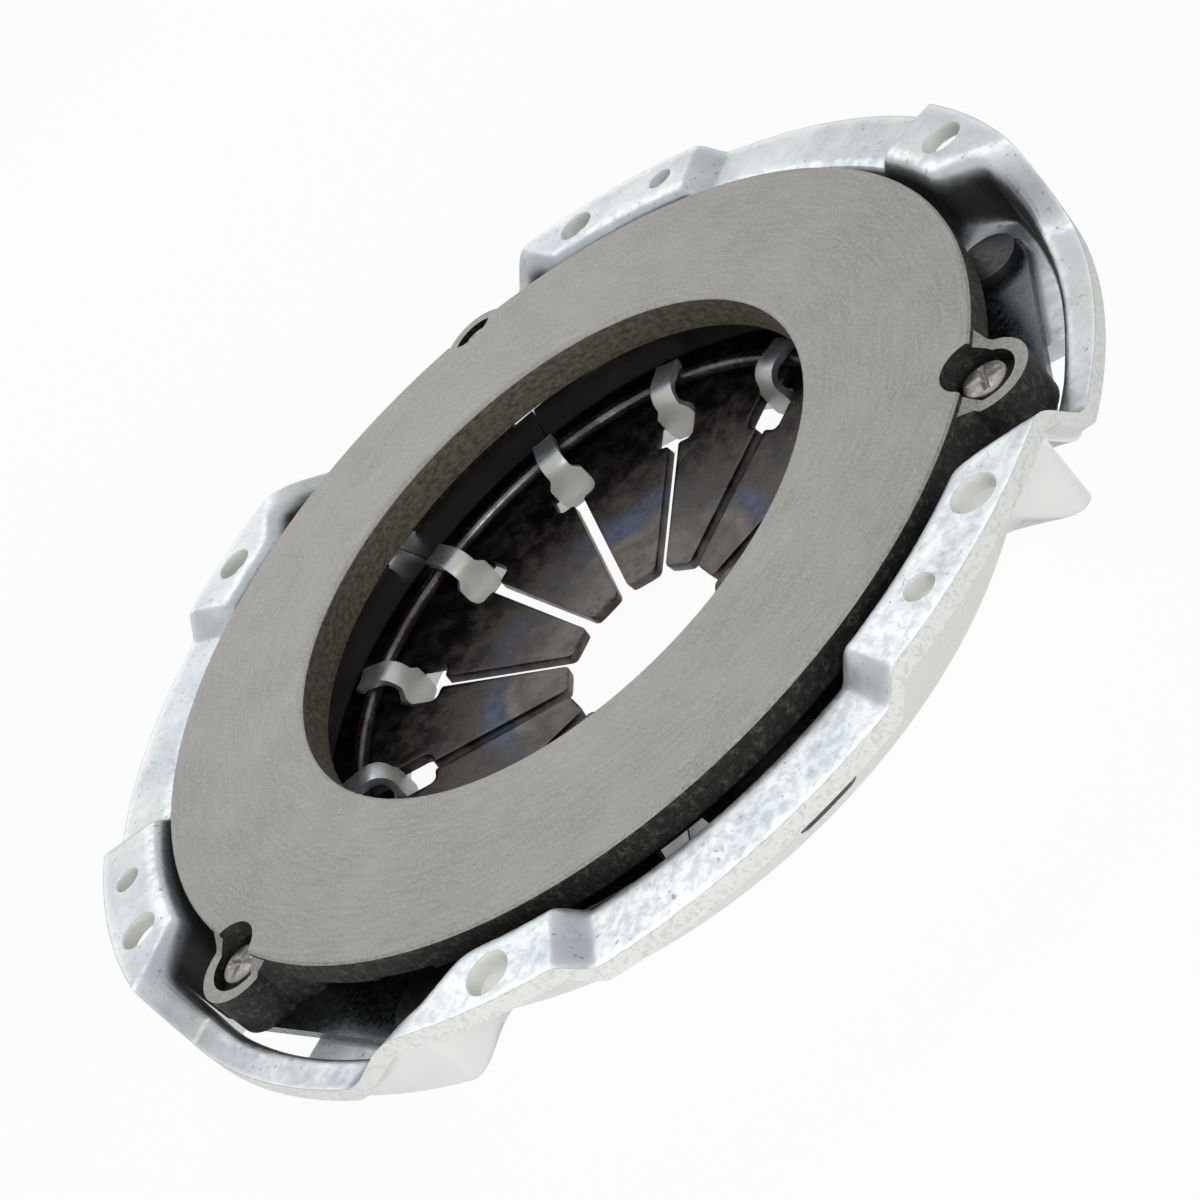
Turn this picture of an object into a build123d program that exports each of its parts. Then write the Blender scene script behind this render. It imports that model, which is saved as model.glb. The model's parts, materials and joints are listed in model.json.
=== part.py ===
from build123d import *
import os
from math import atan2, cos, degrees, radians, sin, tan

os.makedirs("parts", exist_ok=True)

# Frame, mm: the origin is the centre of the flange mounting plane, +X runs through the
# bolt hole of one double land and +Z is the way the friction face looks.

# ---- holes of the bolt flange ----
FLANGE_R = 126.0
BOLT_COUNT = 6
BOLT_EDGE_W = 7.0
BOLT_HOLE_R = 4.5
DOWEL_HOLE_R = 3.1
DOWEL_ANGLES = (-10.0, -130.0, 107.3)

# ---- cover sheet ----
BAY_COUNT = 3
BAY_PITCH = 360.0 / BAY_COUNT
SHEET = 3.8
FLANGE_W = 16.5
RIM_W = 7.5
WALL_STRAIGHT_END_Z = -13.0
CONE_RUN = 17.0
BACK_INNER_Z = -32.1
BACK_OPENING_R = 66.0
LAND_Z = 0.0
VALLEY_Z = -5.0
RIM_Z = -12.0
EDGE_BEND = 2.5
FOOT_BEND = 1.5
BACK_BEND = 4.0

# ---- angles of one 120 degree repeat of the cover ----
DOUBLE_LAND_START = -17.0
DOUBLE_LAND_END = 2.5
SINGLE_LAND_START = 57.5
SINGLE_LAND_END = 66.5
DOUBLE_CORNER_ANGLES = (5.0, 8.2)
DOUBLE_CORNER_W = 12.2
SINGLE_CORNER_ANGLES = (56.0, 48.7)
SINGLE_CORNER_W = 16.0
CORNER_SETBACK = 0.4
WINDOW_START = 9.0
WINDOW_END = 28.0
PAD_END = 51.5
WINDOW_LIP = 2.0
PAD_HEAD_GAP = 2.6
PAD_LAP = 0.3
PAD_MARGIN = 1.0
LAND_DROP_RUN = 6.0
BAY_DROP_RUN = 7.0
RAMP_HEAD = 16.0
RAMP_TAIL = 9.0
RIM_START = 13.0
RIM_END = 43.0
LAND_MARGIN = 1.0
VALLEY_MARGIN = 4.2
CONE_SLOT_CENTRE = -28.0
CONE_SLOT_SPAN = 8.0
CONE_SLOT_TOP_Z = -24.0
CONE_SLOT_HEIGHT = 5.0

# ---- pressure plate ----
FACE_GAP = 3.5
FACE_IN_R = 68.3
BORE_R = 67.1
BORE_CHAMFER = 0.8
FACE_EDGE = 0.5
BORE_DEPTH = 9.0
PLATE_DEPTH = 13.0
PLATE_EDGE_DEPTH = 6.5
PLATE_SHOULDER_W = 8.0
FULCRUM_TOP_W = 2.8
FULCRUM_ROOT_W = 6.0
VENT_W = 11.0

# ---- lugs, straps and their rivets ----
LUG_ANGLE = 17.7
COVER_RIVET_ANGLE = 45.3
RIVET_OUTSET = 1.6
LUG_R = 9.8
LUG_TOP_DEPTH = 3.8
LUG_WALL_DEPTH = 1.5
LUG_STEP_W = 3.0
LUG_DEPTH = 15.0
LUG_FLARE_HALF_W = 15.0
LUG_FLARE_INSET = 4.0
LUG_ROOT_W = 8.0
LUG_SWEEP = 20.0
POCKET_R = 7.0
POCKET_DEPTH = 7.0
STRAP_W = 16.0
LEAF_T = 0.8
LEAF_COUNT = 3
RIVET_R = 3.5
RIVET_FIT = 0.05
LUG_HEAD_R = 4.7
LUG_HEAD_H = 3.0
STAKE_L = 6.4
STAKE_W = 1.3
STAKE_D = 0.7
COVER_HEAD_R = 7.0
COVER_HEAD_H = 2.7
FORMED_HEAD_R = 5.8
FORMED_HEAD_H = 2.1
HEAD_EDGE = 0.5
PLATE_TRAVEL = 6.0
TRAVEL_CLEARANCE = 0.6

# ---- diaphragm spring, its pivot rings and the hook tabs ----
FINGER_COUNT = 12
FINGER_PITCH = 360.0 / FINGER_COUNT
SLOT_ANGLE = 17.5
SPRING_T = 2.6
SPRING_CONE = 11.35
TIP_R = 20.3
SPRING_RIM_GAP = 0.5
FULCRUM_INSET = 2.0
PIVOT_R = 70.0
WIRE_R = 1.7
SLOT_W = 3.0
SLOT_END_R = 56.0
WINDOW_R0 = 54.0
WINDOW_R1 = 64.4
FINGER_WINDOW_W = 11.4
WINDOW_ROUND = 2.0
SECTOR_GAP = 0.5
RING_SEAT = 0.05
ROLL_GAP = 0.5
TAB_W = 9.4
TAB_NECK_W = 5.8
TAB_FOOT_BEND = 0.8
TAB_LAP = 0.01
HOOK_END_ROUND = 0.9
TAB_T = 2.0
TAB_FACE_R = 62.4
HOOK_BEND_R = 5.4
HOOK_REACH = 3.2

# ---- sizes that follow from the ones above ----
BOLT_CIRCLE_R = FLANGE_R - BOLT_EDGE_W
RIM_IN_R = FLANGE_R - RIM_W
WALL_IN_R = FLANGE_R - FLANGE_W
BACK_CORNER_R = WALL_IN_R - CONE_RUN
DOUBLE_CORNER_IN = (FLANGE_R - DOUBLE_CORNER_W, DOUBLE_CORNER_ANGLES[0])
DOUBLE_CORNER_OUT = (FLANGE_R - CORNER_SETBACK, DOUBLE_CORNER_ANGLES[1])
SINGLE_CORNER_IN = (FLANGE_R - SINGLE_CORNER_W, SINGLE_CORNER_ANGLES[0])
SINGLE_CORNER_OUT = (FLANGE_R - CORNER_SETBACK, SINGLE_CORNER_ANGLES[1])
FACE_OUT_R = WALL_IN_R - FACE_GAP
PLATE_SHOULDER_R = FACE_OUT_R - PLATE_SHOULDER_W
RIVET_CIRCLE_R = FACE_OUT_R + RIVET_OUTSET
LUG_FLARE_R = FACE_OUT_R - LUG_FLARE_INSET
LUG_ROOT_R = LUG_FLARE_R - LUG_ROOT_W
PAD_IN_R = RIVET_CIRCLE_R - COVER_HEAD_R - PAD_HEAD_GAP
WINDOW_IN_R = PAD_IN_R - WINDOW_LIP
SPRING_OUT_R = BACK_CORNER_R - SPRING_RIM_GAP
FULCRUM_R = SPRING_OUT_R - FULCRUM_INSET
WALL_OUT_R = WALL_IN_R + SHEET
WALL_RADII = (WALL_IN_R, WALL_OUT_R)
RISER_OUT_R = RIM_IN_R + SHEET
BACK_OUTER_Z = BACK_INNER_Z - SHEET
CONE_SLOPE = (WALL_STRAIGHT_END_Z - BACK_INNER_Z) / (WALL_IN_R - BACK_CORNER_R)
CONE_T_Z = SHEET * (1.0 + CONE_SLOPE ** 2) ** 0.5
STRAP_TOP_Z = -LUG_DEPTH
STRAP_BOTTOM_Z = STRAP_TOP_Z - LEAF_COUNT * LEAF_T
PAD_Z = STRAP_BOTTOM_Z
REAR_RING_Z = BACK_INNER_Z + RING_SEAT + WIRE_R
RING_OFFSET = WIRE_R + ROLL_GAP + 0.5 * SPRING_T / cos(radians(SPRING_CONE))
PIVOT_Z = REAR_RING_Z + RING_OFFSET
FRONT_RING_Z = PIVOT_Z + RING_OFFSET
FULCRUM_Z = PIVOT_Z + (FULCRUM_R - PIVOT_R) * tan(radians(SPRING_CONE)) + RING_OFFSET - WIRE_R
RIVET_HOLE_R = RIVET_R + RIVET_FIT
HOOK_TOP_Z = FRONT_RING_Z + WIRE_R + RING_SEAT + TAB_T


def at_angle(radius, angle):
    """Plan point at a radius and an angle."""
    return (radius * cos(radians(angle)), radius * sin(radians(angle)))


def profile(points, rounds=()):
    """Face bounded by straight lines, with some corners rounded (corner, radius)."""
    face = make_face(Polyline(*points, close=True))
    for corner, radius in rounds:
        vertex = face.vertices().sort_by_distance((corner[0], corner[1], 0))[0]
        face = fillet(vertex, radius)
    return face


def turned(face, start=0.0, end=360.0):
    """Solid of revolution of a radius-height face between two angles."""
    solid = revolve(Plane.XZ * face, Axis.Z, revolution_arc=end - start)
    return Rot(0, 0, start) * solid


def ring_block(r0, r1, z0, z1, start=0.0, end=360.0):
    """Rectangular ring or ring sector."""
    return turned(profile([(r0, z0), (r1, z0), (r1, z1), (r0, z1)]), start, end)


def each_bay(solid):
    """The same solid in every 120 degree repeat."""
    return [Rot(0, 0, BAY_PITCH * index) * solid for index in range(BAY_COUNT)]


def upright(radius, angle, r, z0, z1):
    """Vertical cylinder standing at a plan radius and angle."""
    x, y = at_angle(radius, angle)
    return Pos(x, y, 0.5 * (z0 + z1)) * Cylinder(r, z1 - z0)


def cone_in_z(radius):
    """Height of the inner face of the cover cone."""
    return BACK_INNER_Z + (radius - BACK_CORNER_R) * CONE_SLOPE


def cone_out_z(radius):
    """Height of the outer face of the cover cone."""
    return cone_in_z(radius) - CONE_T_Z


# ---------------------------------------------------------------- cover
def cover_bowl():
    """Back disc, cone and the start of the straight wall, all the way round."""
    corner = (BACK_CORNER_R - (cone_out_z(BACK_CORNER_R) - BACK_OUTER_Z) / CONE_SLOPE, BACK_OUTER_Z)
    points = [
        (BACK_OPENING_R, BACK_INNER_Z),
        (BACK_CORNER_R, BACK_INNER_Z),
        (WALL_IN_R, WALL_STRAIGHT_END_Z),
        (WALL_OUT_R, WALL_STRAIGHT_END_Z),
        (WALL_OUT_R, cone_out_z(WALL_OUT_R)),
        corner,
        (BACK_OPENING_R, BACK_OUTER_Z),
    ]
    rounds = [(corner, BACK_BEND), ((BACK_CORNER_R, BACK_INNER_Z), FOOT_BEND)]
    return turned(profile(points, rounds))


def flange_sector(top, start, end):
    """Straight wall with the flange on it, bent over at a given height."""
    points = [
        (WALL_IN_R, WALL_STRAIGHT_END_Z),
        (WALL_OUT_R, WALL_STRAIGHT_END_Z),
        (WALL_OUT_R, top - SHEET),
        (FLANGE_R, top - SHEET),
        (FLANGE_R, top),
        (WALL_IN_R, top),
    ]
    return turned(profile(points, [((WALL_IN_R, top), EDGE_BEND)]), start, end)


def ramp_plane(inner, outer, down):
    """Plane across a ramp: local x runs down the ramp, local y is height."""
    x0, y0 = at_angle(*inner)
    x1, y1 = at_angle(*outer)
    along = Vector(x1 - x0, y1 - y0, 0).normalized()
    across = Vector(-along.Y * down, along.X * down, 0)
    return Plane(origin=(x0, y0, 0), x_dir=across, z_dir=across.cross(Vector(0, 0, 1)))


def ramp_sheet(line, low, run, radii, angles):
    """Sheet that drops from the land to a lower level beyond a straight bend line."""
    slope = atan2(LAND_Z - low, run)
    shift = SHEET * tan(0.5 * slope)
    top = [(-RAMP_HEAD, LAND_Z), (0, LAND_Z), (run, low), (run + RAMP_TAIL, low)]
    under = [
        (run + RAMP_TAIL, low - SHEET),
        (run - shift, low - SHEET),
        (-shift, LAND_Z - SHEET),
        (-RAMP_HEAD, LAND_Z - SHEET),
    ]
    rounds = [(top[1], EDGE_BEND), (top[2], FOOT_BEND), (under[1], EDGE_BEND), (under[2], FOOT_BEND)]
    sheet = extrude(ramp_plane(*line) * profile(top + under, rounds), amount=FLANGE_R, both=True)
    return sheet & ring_block(radii[0], radii[1], low - 2 * SHEET, LAND_Z + SHEET, *angles)


def ramp_wall(line, low, run, radii, foot, angles):
    """Straight wall standing under a ramp."""
    level = max(low, foot)
    reach = run * (LAND_Z - level) / (LAND_Z - low)
    points = [(-RAMP_HEAD, foot), (-RAMP_HEAD, LAND_Z), (0, LAND_Z), (reach, level)]
    rounds = [((0, LAND_Z), EDGE_BEND)]
    if low > foot:
        points += [(run + RAMP_TAIL, low), (run + RAMP_TAIL, foot)]
        rounds.append(((run, low), FOOT_BEND))
    block = extrude(ramp_plane(*line) * profile(points, rounds), amount=FLANGE_R, both=True)
    return block & ring_block(radii[0], radii[1], foot, LAND_Z + SHEET, *angles)


def valley_ramps():
    """The two short drops between a land and the valley beside it."""
    result = []
    for bend, down in ((DOUBLE_LAND_START, -1), (SINGLE_LAND_END, 1)):
        line = ((WALL_IN_R, bend), (FLANGE_R, bend), down)
        angles = sorted((bend - down * LAND_MARGIN, bend + down * VALLEY_MARGIN))
        sheet = ramp_sheet(line, VALLEY_Z, LAND_DROP_RUN, (WALL_OUT_R, FLANGE_R), angles)
        result += [sheet, ramp_wall(line, VALLEY_Z, LAND_DROP_RUN, WALL_RADII, WALL_STRAIGHT_END_Z, angles)]
    return result


def bay_ramps():
    """Drops from the lands to the low rim and to the strap pad of a lug bay."""
    double = (DOUBLE_CORNER_IN, DOUBLE_CORNER_OUT, 1)
    single = (SINGLE_CORNER_IN, SINGLE_CORNER_OUT, -1)
    run = BAY_DROP_RUN
    foot = WALL_STRAIGHT_END_Z
    riser = (RIM_IN_R, RISER_OUT_R)
    whole = (RIM_END, SINGLE_LAND_START)
    pad_drop = PAD_Z - PAD_LAP
    beyond = (PAD_END, SINGLE_LAND_START)
    return [
        ramp_sheet(double, RIM_Z, run, (WALL_OUT_R, FLANGE_R), (DOUBLE_LAND_END, RIM_START)),
        ramp_wall(double, RIM_Z, run, WALL_RADII, foot, (DOUBLE_LAND_END, WINDOW_START)),
        ramp_sheet(single, RIM_Z, run, (RISER_OUT_R, FLANGE_R), whole),
        ramp_sheet(single, RIM_Z, run, riser, beyond),
        ramp_wall(single, RIM_Z, run, riser, RIM_Z - SHEET, (RIM_END, PAD_END)),
        ramp_sheet(single, pad_drop, run, (WALL_OUT_R, RIM_IN_R), (PAD_END - 5.0, SINGLE_LAND_START)),
        ramp_wall(single, pad_drop, run, WALL_RADII, foot, beyond),
    ]


def strap_pad():
    """Raised flat the straps are riveted to, with its risers to the rim and the cone."""
    foot = cone_out_z(PAD_IN_R + SHEET) + 2 * PAD_LAP
    points = [
        (PAD_IN_R, foot),
        (PAD_IN_R, PAD_Z),
        (RIM_IN_R, PAD_Z),
        (RIM_IN_R, RIM_Z - SHEET),
        (RISER_OUT_R, RIM_Z - SHEET),
        (RISER_OUT_R, PAD_Z - SHEET),
        (PAD_IN_R + SHEET, PAD_Z - SHEET),
        (PAD_IN_R + SHEET, foot),
    ]
    rounds = [((PAD_IN_R, PAD_Z), EDGE_BEND), ((RISER_OUT_R, PAD_Z - SHEET), EDGE_BEND)]
    pad = turned(profile(points, rounds), WINDOW_END - PAD_MARGIN, PAD_END + PAD_MARGIN)
    inside = PAD_IN_R + PAD_LAP
    edge_r = PAD_IN_R + (PAD_Z - 1.0 - cone_out_z(PAD_IN_R)) / CONE_SLOPE - 4 * PAD_LAP
    end_foot = cone_out_z(inside) + 4 * PAD_LAP
    end_face = profile([(inside, PAD_Z - 1.0), (edge_r, PAD_Z - 1.0), (inside, end_foot)])
    end_riser = turned(end_face, PAD_END - 2.0, PAD_END + 0.5 * PAD_MARGIN)
    return [pad, end_riser]


def hook_tab():
    """Tab bent up from the back edge, through the spring and over the front ring."""
    mid_z = HOOK_TOP_Z - 0.5 * TAB_T
    half = 0.5 * TAB_T
    bend = HOOK_BEND_R
    shoulder = mid_z - bend
    rise = profile([
        (TAB_FACE_R - half, BACK_OUTER_Z),
        (BACK_OPENING_R + 1.0, BACK_OUTER_Z),
        (BACK_OPENING_R + 1.0, BACK_INNER_Z),
        (TAB_FACE_R + half, BACK_INNER_Z),
        (TAB_FACE_R + half, shoulder),
        (TAB_FACE_R - half, shoulder),
    ], [((TAB_FACE_R - half, BACK_OUTER_Z), EDGE_BEND), ((TAB_FACE_R + half, BACK_INNER_Z), TAB_FOOT_BEND)])
    ring = Circle(bend + half) - Circle(bend - half)
    corner = Pos(-0.5 * (bend + SHEET), 0.5 * (bend + SHEET)) * Rectangle(bend + SHEET, bend + SHEET)
    quarter = Pos(TAB_FACE_R + bend, shoulder) * (ring & corner)
    end = PIVOT_R + HOOK_REACH
    reach = profile([
        (TAB_FACE_R + bend - TAB_LAP, mid_z - half),
        (end, mid_z - half),
        (end, mid_z + half),
        (TAB_FACE_R + bend - TAB_LAP, mid_z + half),
    ], [((end, mid_z + half), HOOK_END_ROUND)])
    wide = extrude(Plane.XZ * rise, amount=0.5 * TAB_W, both=True)
    return wide + extrude(Plane.XZ * (quarter + reach), amount=0.5 * TAB_NECK_W, both=True)


def make_cover():
    """Whole stamped cover as one solid."""
    cover = cover_bowl()
    clear_r = PAD_IN_R + 0.5 * SHEET
    clear = ring_block(clear_r, FLANGE_R + 1, BACK_OUTER_Z - 1, 1, WINDOW_START, PAD_END)
    for piece in each_bay(clear):
        cover -= piece
    valley_end = DOUBLE_LAND_START + BAY_PITCH - VALLEY_MARGIN
    bay = [
        flange_sector(LAND_Z, DOUBLE_LAND_START + LAND_MARGIN, DOUBLE_LAND_END),
        flange_sector(LAND_Z, SINGLE_LAND_START, SINGLE_LAND_END - LAND_MARGIN),
        flange_sector(VALLEY_Z, SINGLE_LAND_END + VALLEY_MARGIN, valley_end),
        ring_block(RIM_IN_R, FLANGE_R, RIM_Z - SHEET, RIM_Z, RIM_START, RIM_END),
    ]
    for solid in strap_pad() + bay + valley_ramps() + bay_ramps():
        for piece in each_bay(solid):
            cover += piece
    window = ring_block(WINDOW_IN_R, RIM_IN_R, BACK_OUTER_Z - 1, 1, WINDOW_START, WINDOW_END)
    cone_slot = ring_block(
        BACK_CORNER_R,
        FLANGE_R,
        CONE_SLOT_TOP_Z - CONE_SLOT_HEIGHT,
        CONE_SLOT_TOP_Z,
        CONE_SLOT_CENTRE - 0.5 * CONE_SLOT_SPAN,
        CONE_SLOT_CENTRE + 0.5 * CONE_SLOT_SPAN,
    )
    rivet_hole = upright(RIVET_CIRCLE_R, COVER_RIVET_ANGLE, RIVET_HOLE_R, BACK_OUTER_Z, PAD_Z + 1)
    for solid in (window, cone_slot, rivet_hole):
        for piece in each_bay(solid):
            cover -= piece
    for index in range(BOLT_COUNT):
        angle = 360.0 / BOLT_COUNT * index
        cover -= upright(BOLT_CIRCLE_R, angle, BOLT_HOLE_R, -2 * SHEET, SHEET)
    for angle in DOWEL_ANGLES:
        cover -= upright(BOLT_CIRCLE_R, angle, DOWEL_HOLE_R, -2 * SHEET, SHEET)
    for index in range(FINGER_COUNT):
        cover += Rot(0, 0, SLOT_ANGLE + FINGER_PITCH * index) * hook_tab()
    return cover


# ---------------------------------------------------------------- pressure plate
def plate_body():
    """Turned ring with the friction face, and the fulcrum rib the spring rim presses on."""
    points = [
        (FACE_IN_R, 0),
        (FACE_OUT_R - FACE_EDGE, 0),
        (FACE_OUT_R, -FACE_EDGE),
        (FACE_OUT_R, -PLATE_EDGE_DEPTH),
        (PLATE_SHOULDER_R, -PLATE_DEPTH),
        (FULCRUM_R + 0.5 * FULCRUM_ROOT_W, -PLATE_DEPTH),
        (FULCRUM_R + 0.5 * FULCRUM_TOP_W, FULCRUM_Z),
        (FULCRUM_R - 0.5 * FULCRUM_TOP_W, FULCRUM_Z),
        (FULCRUM_R - 0.5 * FULCRUM_ROOT_W, -PLATE_DEPTH),
        (BORE_R + 3.0, -BORE_DEPTH - 1.5),
        (BORE_R, -BORE_DEPTH),
        (BORE_R, -BORE_CHAMFER),
    ]
    top = 0.5 * FULCRUM_TOP_W
    rounds = [((FULCRUM_R + top, FULCRUM_Z), 0.45 * FULCRUM_TOP_W)]
    rounds.append(((FULCRUM_R - top, FULCRUM_Z), 0.45 * FULCRUM_TOP_W))
    return turned(profile(points, rounds))


def plate_lug():
    """Ear that carries one strap rivet, with the shoulder below the friction face."""
    flare = make_face(Polyline(
        (LUG_ROOT_R, -LUG_FLARE_HALF_W),
        (LUG_FLARE_R, -LUG_FLARE_HALF_W),
        (RIVET_CIRCLE_R, -LUG_R),
        (RIVET_CIRCLE_R, LUG_R),
        (LUG_FLARE_R, LUG_FLARE_HALF_W),
        (LUG_ROOT_R, LUG_FLARE_HALF_W),
        close=True,
    ))
    plan = flare + Pos(RIVET_CIRCLE_R, 0) * Circle(LUG_R)
    column = extrude(Pos(0, 0, -LUG_DEPTH) * plan, amount=LUG_DEPTH)
    reach = RIVET_CIRCLE_R + LUG_R + 1.0
    step = profile([
        (LUG_ROOT_R - 1.0, -LUG_DEPTH),
        (reach, -LUG_DEPTH),
        (reach, -LUG_TOP_DEPTH),
        (FACE_OUT_R + LUG_STEP_W, -LUG_TOP_DEPTH),
        (FACE_OUT_R, -LUG_WALL_DEPTH),
        (LUG_ROOT_R - 1.0, -LUG_WALL_DEPTH),
    ])
    return Rot(0, 0, LUG_ANGLE) * (column & turned(step, -LUG_SWEEP, LUG_SWEEP))


def strap_outline(grow):
    """Plan of one strap leaf, grown by a margin."""
    x0, y0 = at_angle(RIVET_CIRCLE_R, LUG_ANGLE)
    x1, y1 = at_angle(RIVET_CIRCLE_R, COVER_RIVET_ANGLE)
    length = ((x1 - x0) ** 2 + (y1 - y0) ** 2) ** 0.5
    slot = SlotCenterToCenter(length, STRAP_W + 2 * grow)
    return Pos(0.5 * (x0 + x1), 0.5 * (y0 + y1)) * Rot(0, 0, degrees(atan2(y1 - y0, x1 - x0))) * slot


def strap_relief():
    """Room under the plate for the strap, its cover end and the flat rivet head."""
    roof = STRAP_TOP_Z + PLATE_TRAVEL + TRAVEL_CLEARANCE
    room = extrude(Pos(0, 0, FULCRUM_Z) * strap_outline(1.0), amount=roof - FULCRUM_Z)
    room = room & ring_block(BORE_R, FLANGE_R, FULCRUM_Z, 0, LUG_ANGLE + 9.0, COVER_RIVET_ANGLE + 9.0)
    head_roof = STRAP_TOP_Z + COVER_HEAD_H + PLATE_TRAVEL + TRAVEL_CLEARANCE
    head_room = upright(RIVET_CIRCLE_R, COVER_RIVET_ANGLE, COVER_HEAD_R + 1.0, FULCRUM_Z, head_roof)
    return room + head_room


def make_plate():
    """Cast pressure plate as one solid."""
    plate = plate_body()
    for piece in each_bay(plate_lug()):
        plate += piece
    pocket = upright(RIVET_CIRCLE_R, LUG_ANGLE, POCKET_R, -POCKET_DEPTH, 1.0)
    hole = upright(RIVET_CIRCLE_R, LUG_ANGLE, RIVET_HOLE_R, -LUG_DEPTH - 1.0, 0)
    for solid in (pocket, hole, strap_relief()):
        for piece in each_bay(solid):
            plate -= piece
    vent_r = FULCRUM_ROOT_W + 2.0
    vent = Pos(FULCRUM_R, 0, FULCRUM_Z) * Box(vent_r, VENT_W, 2 * (-PLATE_DEPTH - 1.5 - FULCRUM_Z))
    for index in range(FINGER_COUNT):
        plate -= Rot(0, 0, SLOT_ANGLE + FINGER_PITCH * index) * vent
    return plate


# ---------------------------------------------------------------- spring and rings
def slot_cut():
    """Plan of one slot with the window at its outer end and the cut through the rim."""
    slot = Pos(0.5 * SLOT_END_R, 0) * Rectangle(SLOT_END_R, SLOT_W)
    window = Pos(0.5 * (WINDOW_R0 + WINDOW_R1), 0) * RectangleRounded(
        WINDOW_R1 - WINDOW_R0, FINGER_WINDOW_W, WINDOW_ROUND)
    rim = Pos(0.5 * SPRING_OUT_R, 0) * Rectangle(SPRING_OUT_R + 4.0, SECTOR_GAP)
    depth = BACK_OUTER_Z - 4 * SHEET
    return extrude(Pos(0, 0, depth) * (slot + window + rim), amount=-depth)


def make_finger():
    """One sector of the diaphragm spring: a finger and its share of the rim."""
    lean = radians(SPRING_CONE)
    half = Vector(-sin(lean), cos(lean)) * (0.5 * SPRING_T)
    tip = Vector(TIP_R, PIVOT_Z - (PIVOT_R - TIP_R) * tan(lean))
    rim = Vector(SPRING_OUT_R, PIVOT_Z + (SPRING_OUT_R - PIVOT_R) * tan(lean))
    corners = [tip - half, rim - half, rim + half, tip + half]
    face = profile([(corner.X, corner.Y) for corner in corners])
    sector = turned(face, 0.0, FINGER_PITCH)
    cut = slot_cut()
    return sector - cut - Rot(0, 0, FINGER_PITCH) * cut


def make_ring(height):
    """Round wire ring the spring rolls on."""
    return Pos(0, 0, height) * Torus(PIVOT_R, WIRE_R)


# ---------------------------------------------------------------- straps and rivets
def make_leaf(index):
    """One spring-steel leaf of a drive strap, counted from the top."""
    top = STRAP_TOP_Z - index * LEAF_T
    leaf = extrude(Pos(0, 0, top - LEAF_T) * strap_outline(0.0), amount=LEAF_T)
    for angle in (LUG_ANGLE, COVER_RIVET_ANGLE):
        leaf -= upright(RIVET_CIRCLE_R, angle, RIVET_HOLE_R, top - 2 * LEAF_T, top + LEAF_T)
    return leaf


def rivet(angle, head_r, head_z, head_h, tail_z):
    """Rivet with a flat head above, a plain shank and a formed head below."""
    outline = [
        (0, head_z + head_h),
        (head_r - HEAD_EDGE, head_z + head_h),
        (head_r, head_z + head_h - HEAD_EDGE),
        (head_r, head_z),
        (RIVET_R, head_z),
        (RIVET_R, tail_z),
        (FORMED_HEAD_R, tail_z),
        (FORMED_HEAD_R, tail_z - 0.4 * FORMED_HEAD_H),
        (0.6 * FORMED_HEAD_R, tail_z - FORMED_HEAD_H),
        (0, tail_z - FORMED_HEAD_H),
    ]
    x, y = at_angle(RIVET_CIRCLE_R, angle)
    return Pos(x, y, 0) * turned(profile(outline))


def make_lug_rivet():
    """Rivet that holds the strap to a plate lug, staked with a cross."""
    body = rivet(LUG_ANGLE, LUG_HEAD_R, -POCKET_DEPTH, LUG_HEAD_H, STRAP_BOTTOM_Z)
    x, y = at_angle(RIVET_CIRCLE_R, LUG_ANGLE)
    top = -POCKET_DEPTH + LUG_HEAD_H
    for turn in (0.0, 90.0):
        body -= Pos(x, y, top) * Rot(0, 0, LUG_ANGLE + turn) * Box(STAKE_L, STAKE_W, 2 * STAKE_D)
    return body


def make_cover_rivet():
    """Rivet with a wide flat head that holds the strap to the cover pad."""
    return rivet(COVER_RIVET_ANGLE, COVER_HEAD_R, STRAP_TOP_Z, COVER_HEAD_H, PAD_Z - SHEET)


export_step(make_cover(), "parts/cover.step")
export_step(make_plate(), "parts/pressure_plate.step")
export_step(make_ring(FRONT_RING_Z), "parts/front_pivot_ring.step")
export_step(make_ring(REAR_RING_Z), "parts/rear_pivot_ring.step")

finger = make_finger()
for index in range(FINGER_COUNT):
    turn = SLOT_ANGLE + FINGER_PITCH * index
    export_step(Rot(0, 0, turn) * finger, f"parts/spring_finger_{index + 1:02d}.step")

for level in range(LEAF_COUNT):
    leaf = make_leaf(level)
    for bay, placed in enumerate(each_bay(leaf)):
        export_step(placed, f"parts/drive_strap_{bay + 1}_leaf_{level + 1}.step")

export_step(Compound(children=each_bay(make_lug_rivet())), "parts/lug_rivets.step")
export_step(Compound(children=each_bay(make_cover_rivet())), "parts/cover_strap_rivets.step")
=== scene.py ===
"""Diaphragm-spring clutch pressure plate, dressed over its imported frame."""
from __future__ import annotations

import json
import logging
import math
from collections.abc import Iterable, Sequence
from dataclasses import dataclass
from enum import Enum
from functools import cache

import bmesh
import bpy
import numpy as np
from mathutils import Matrix, Vector

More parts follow.
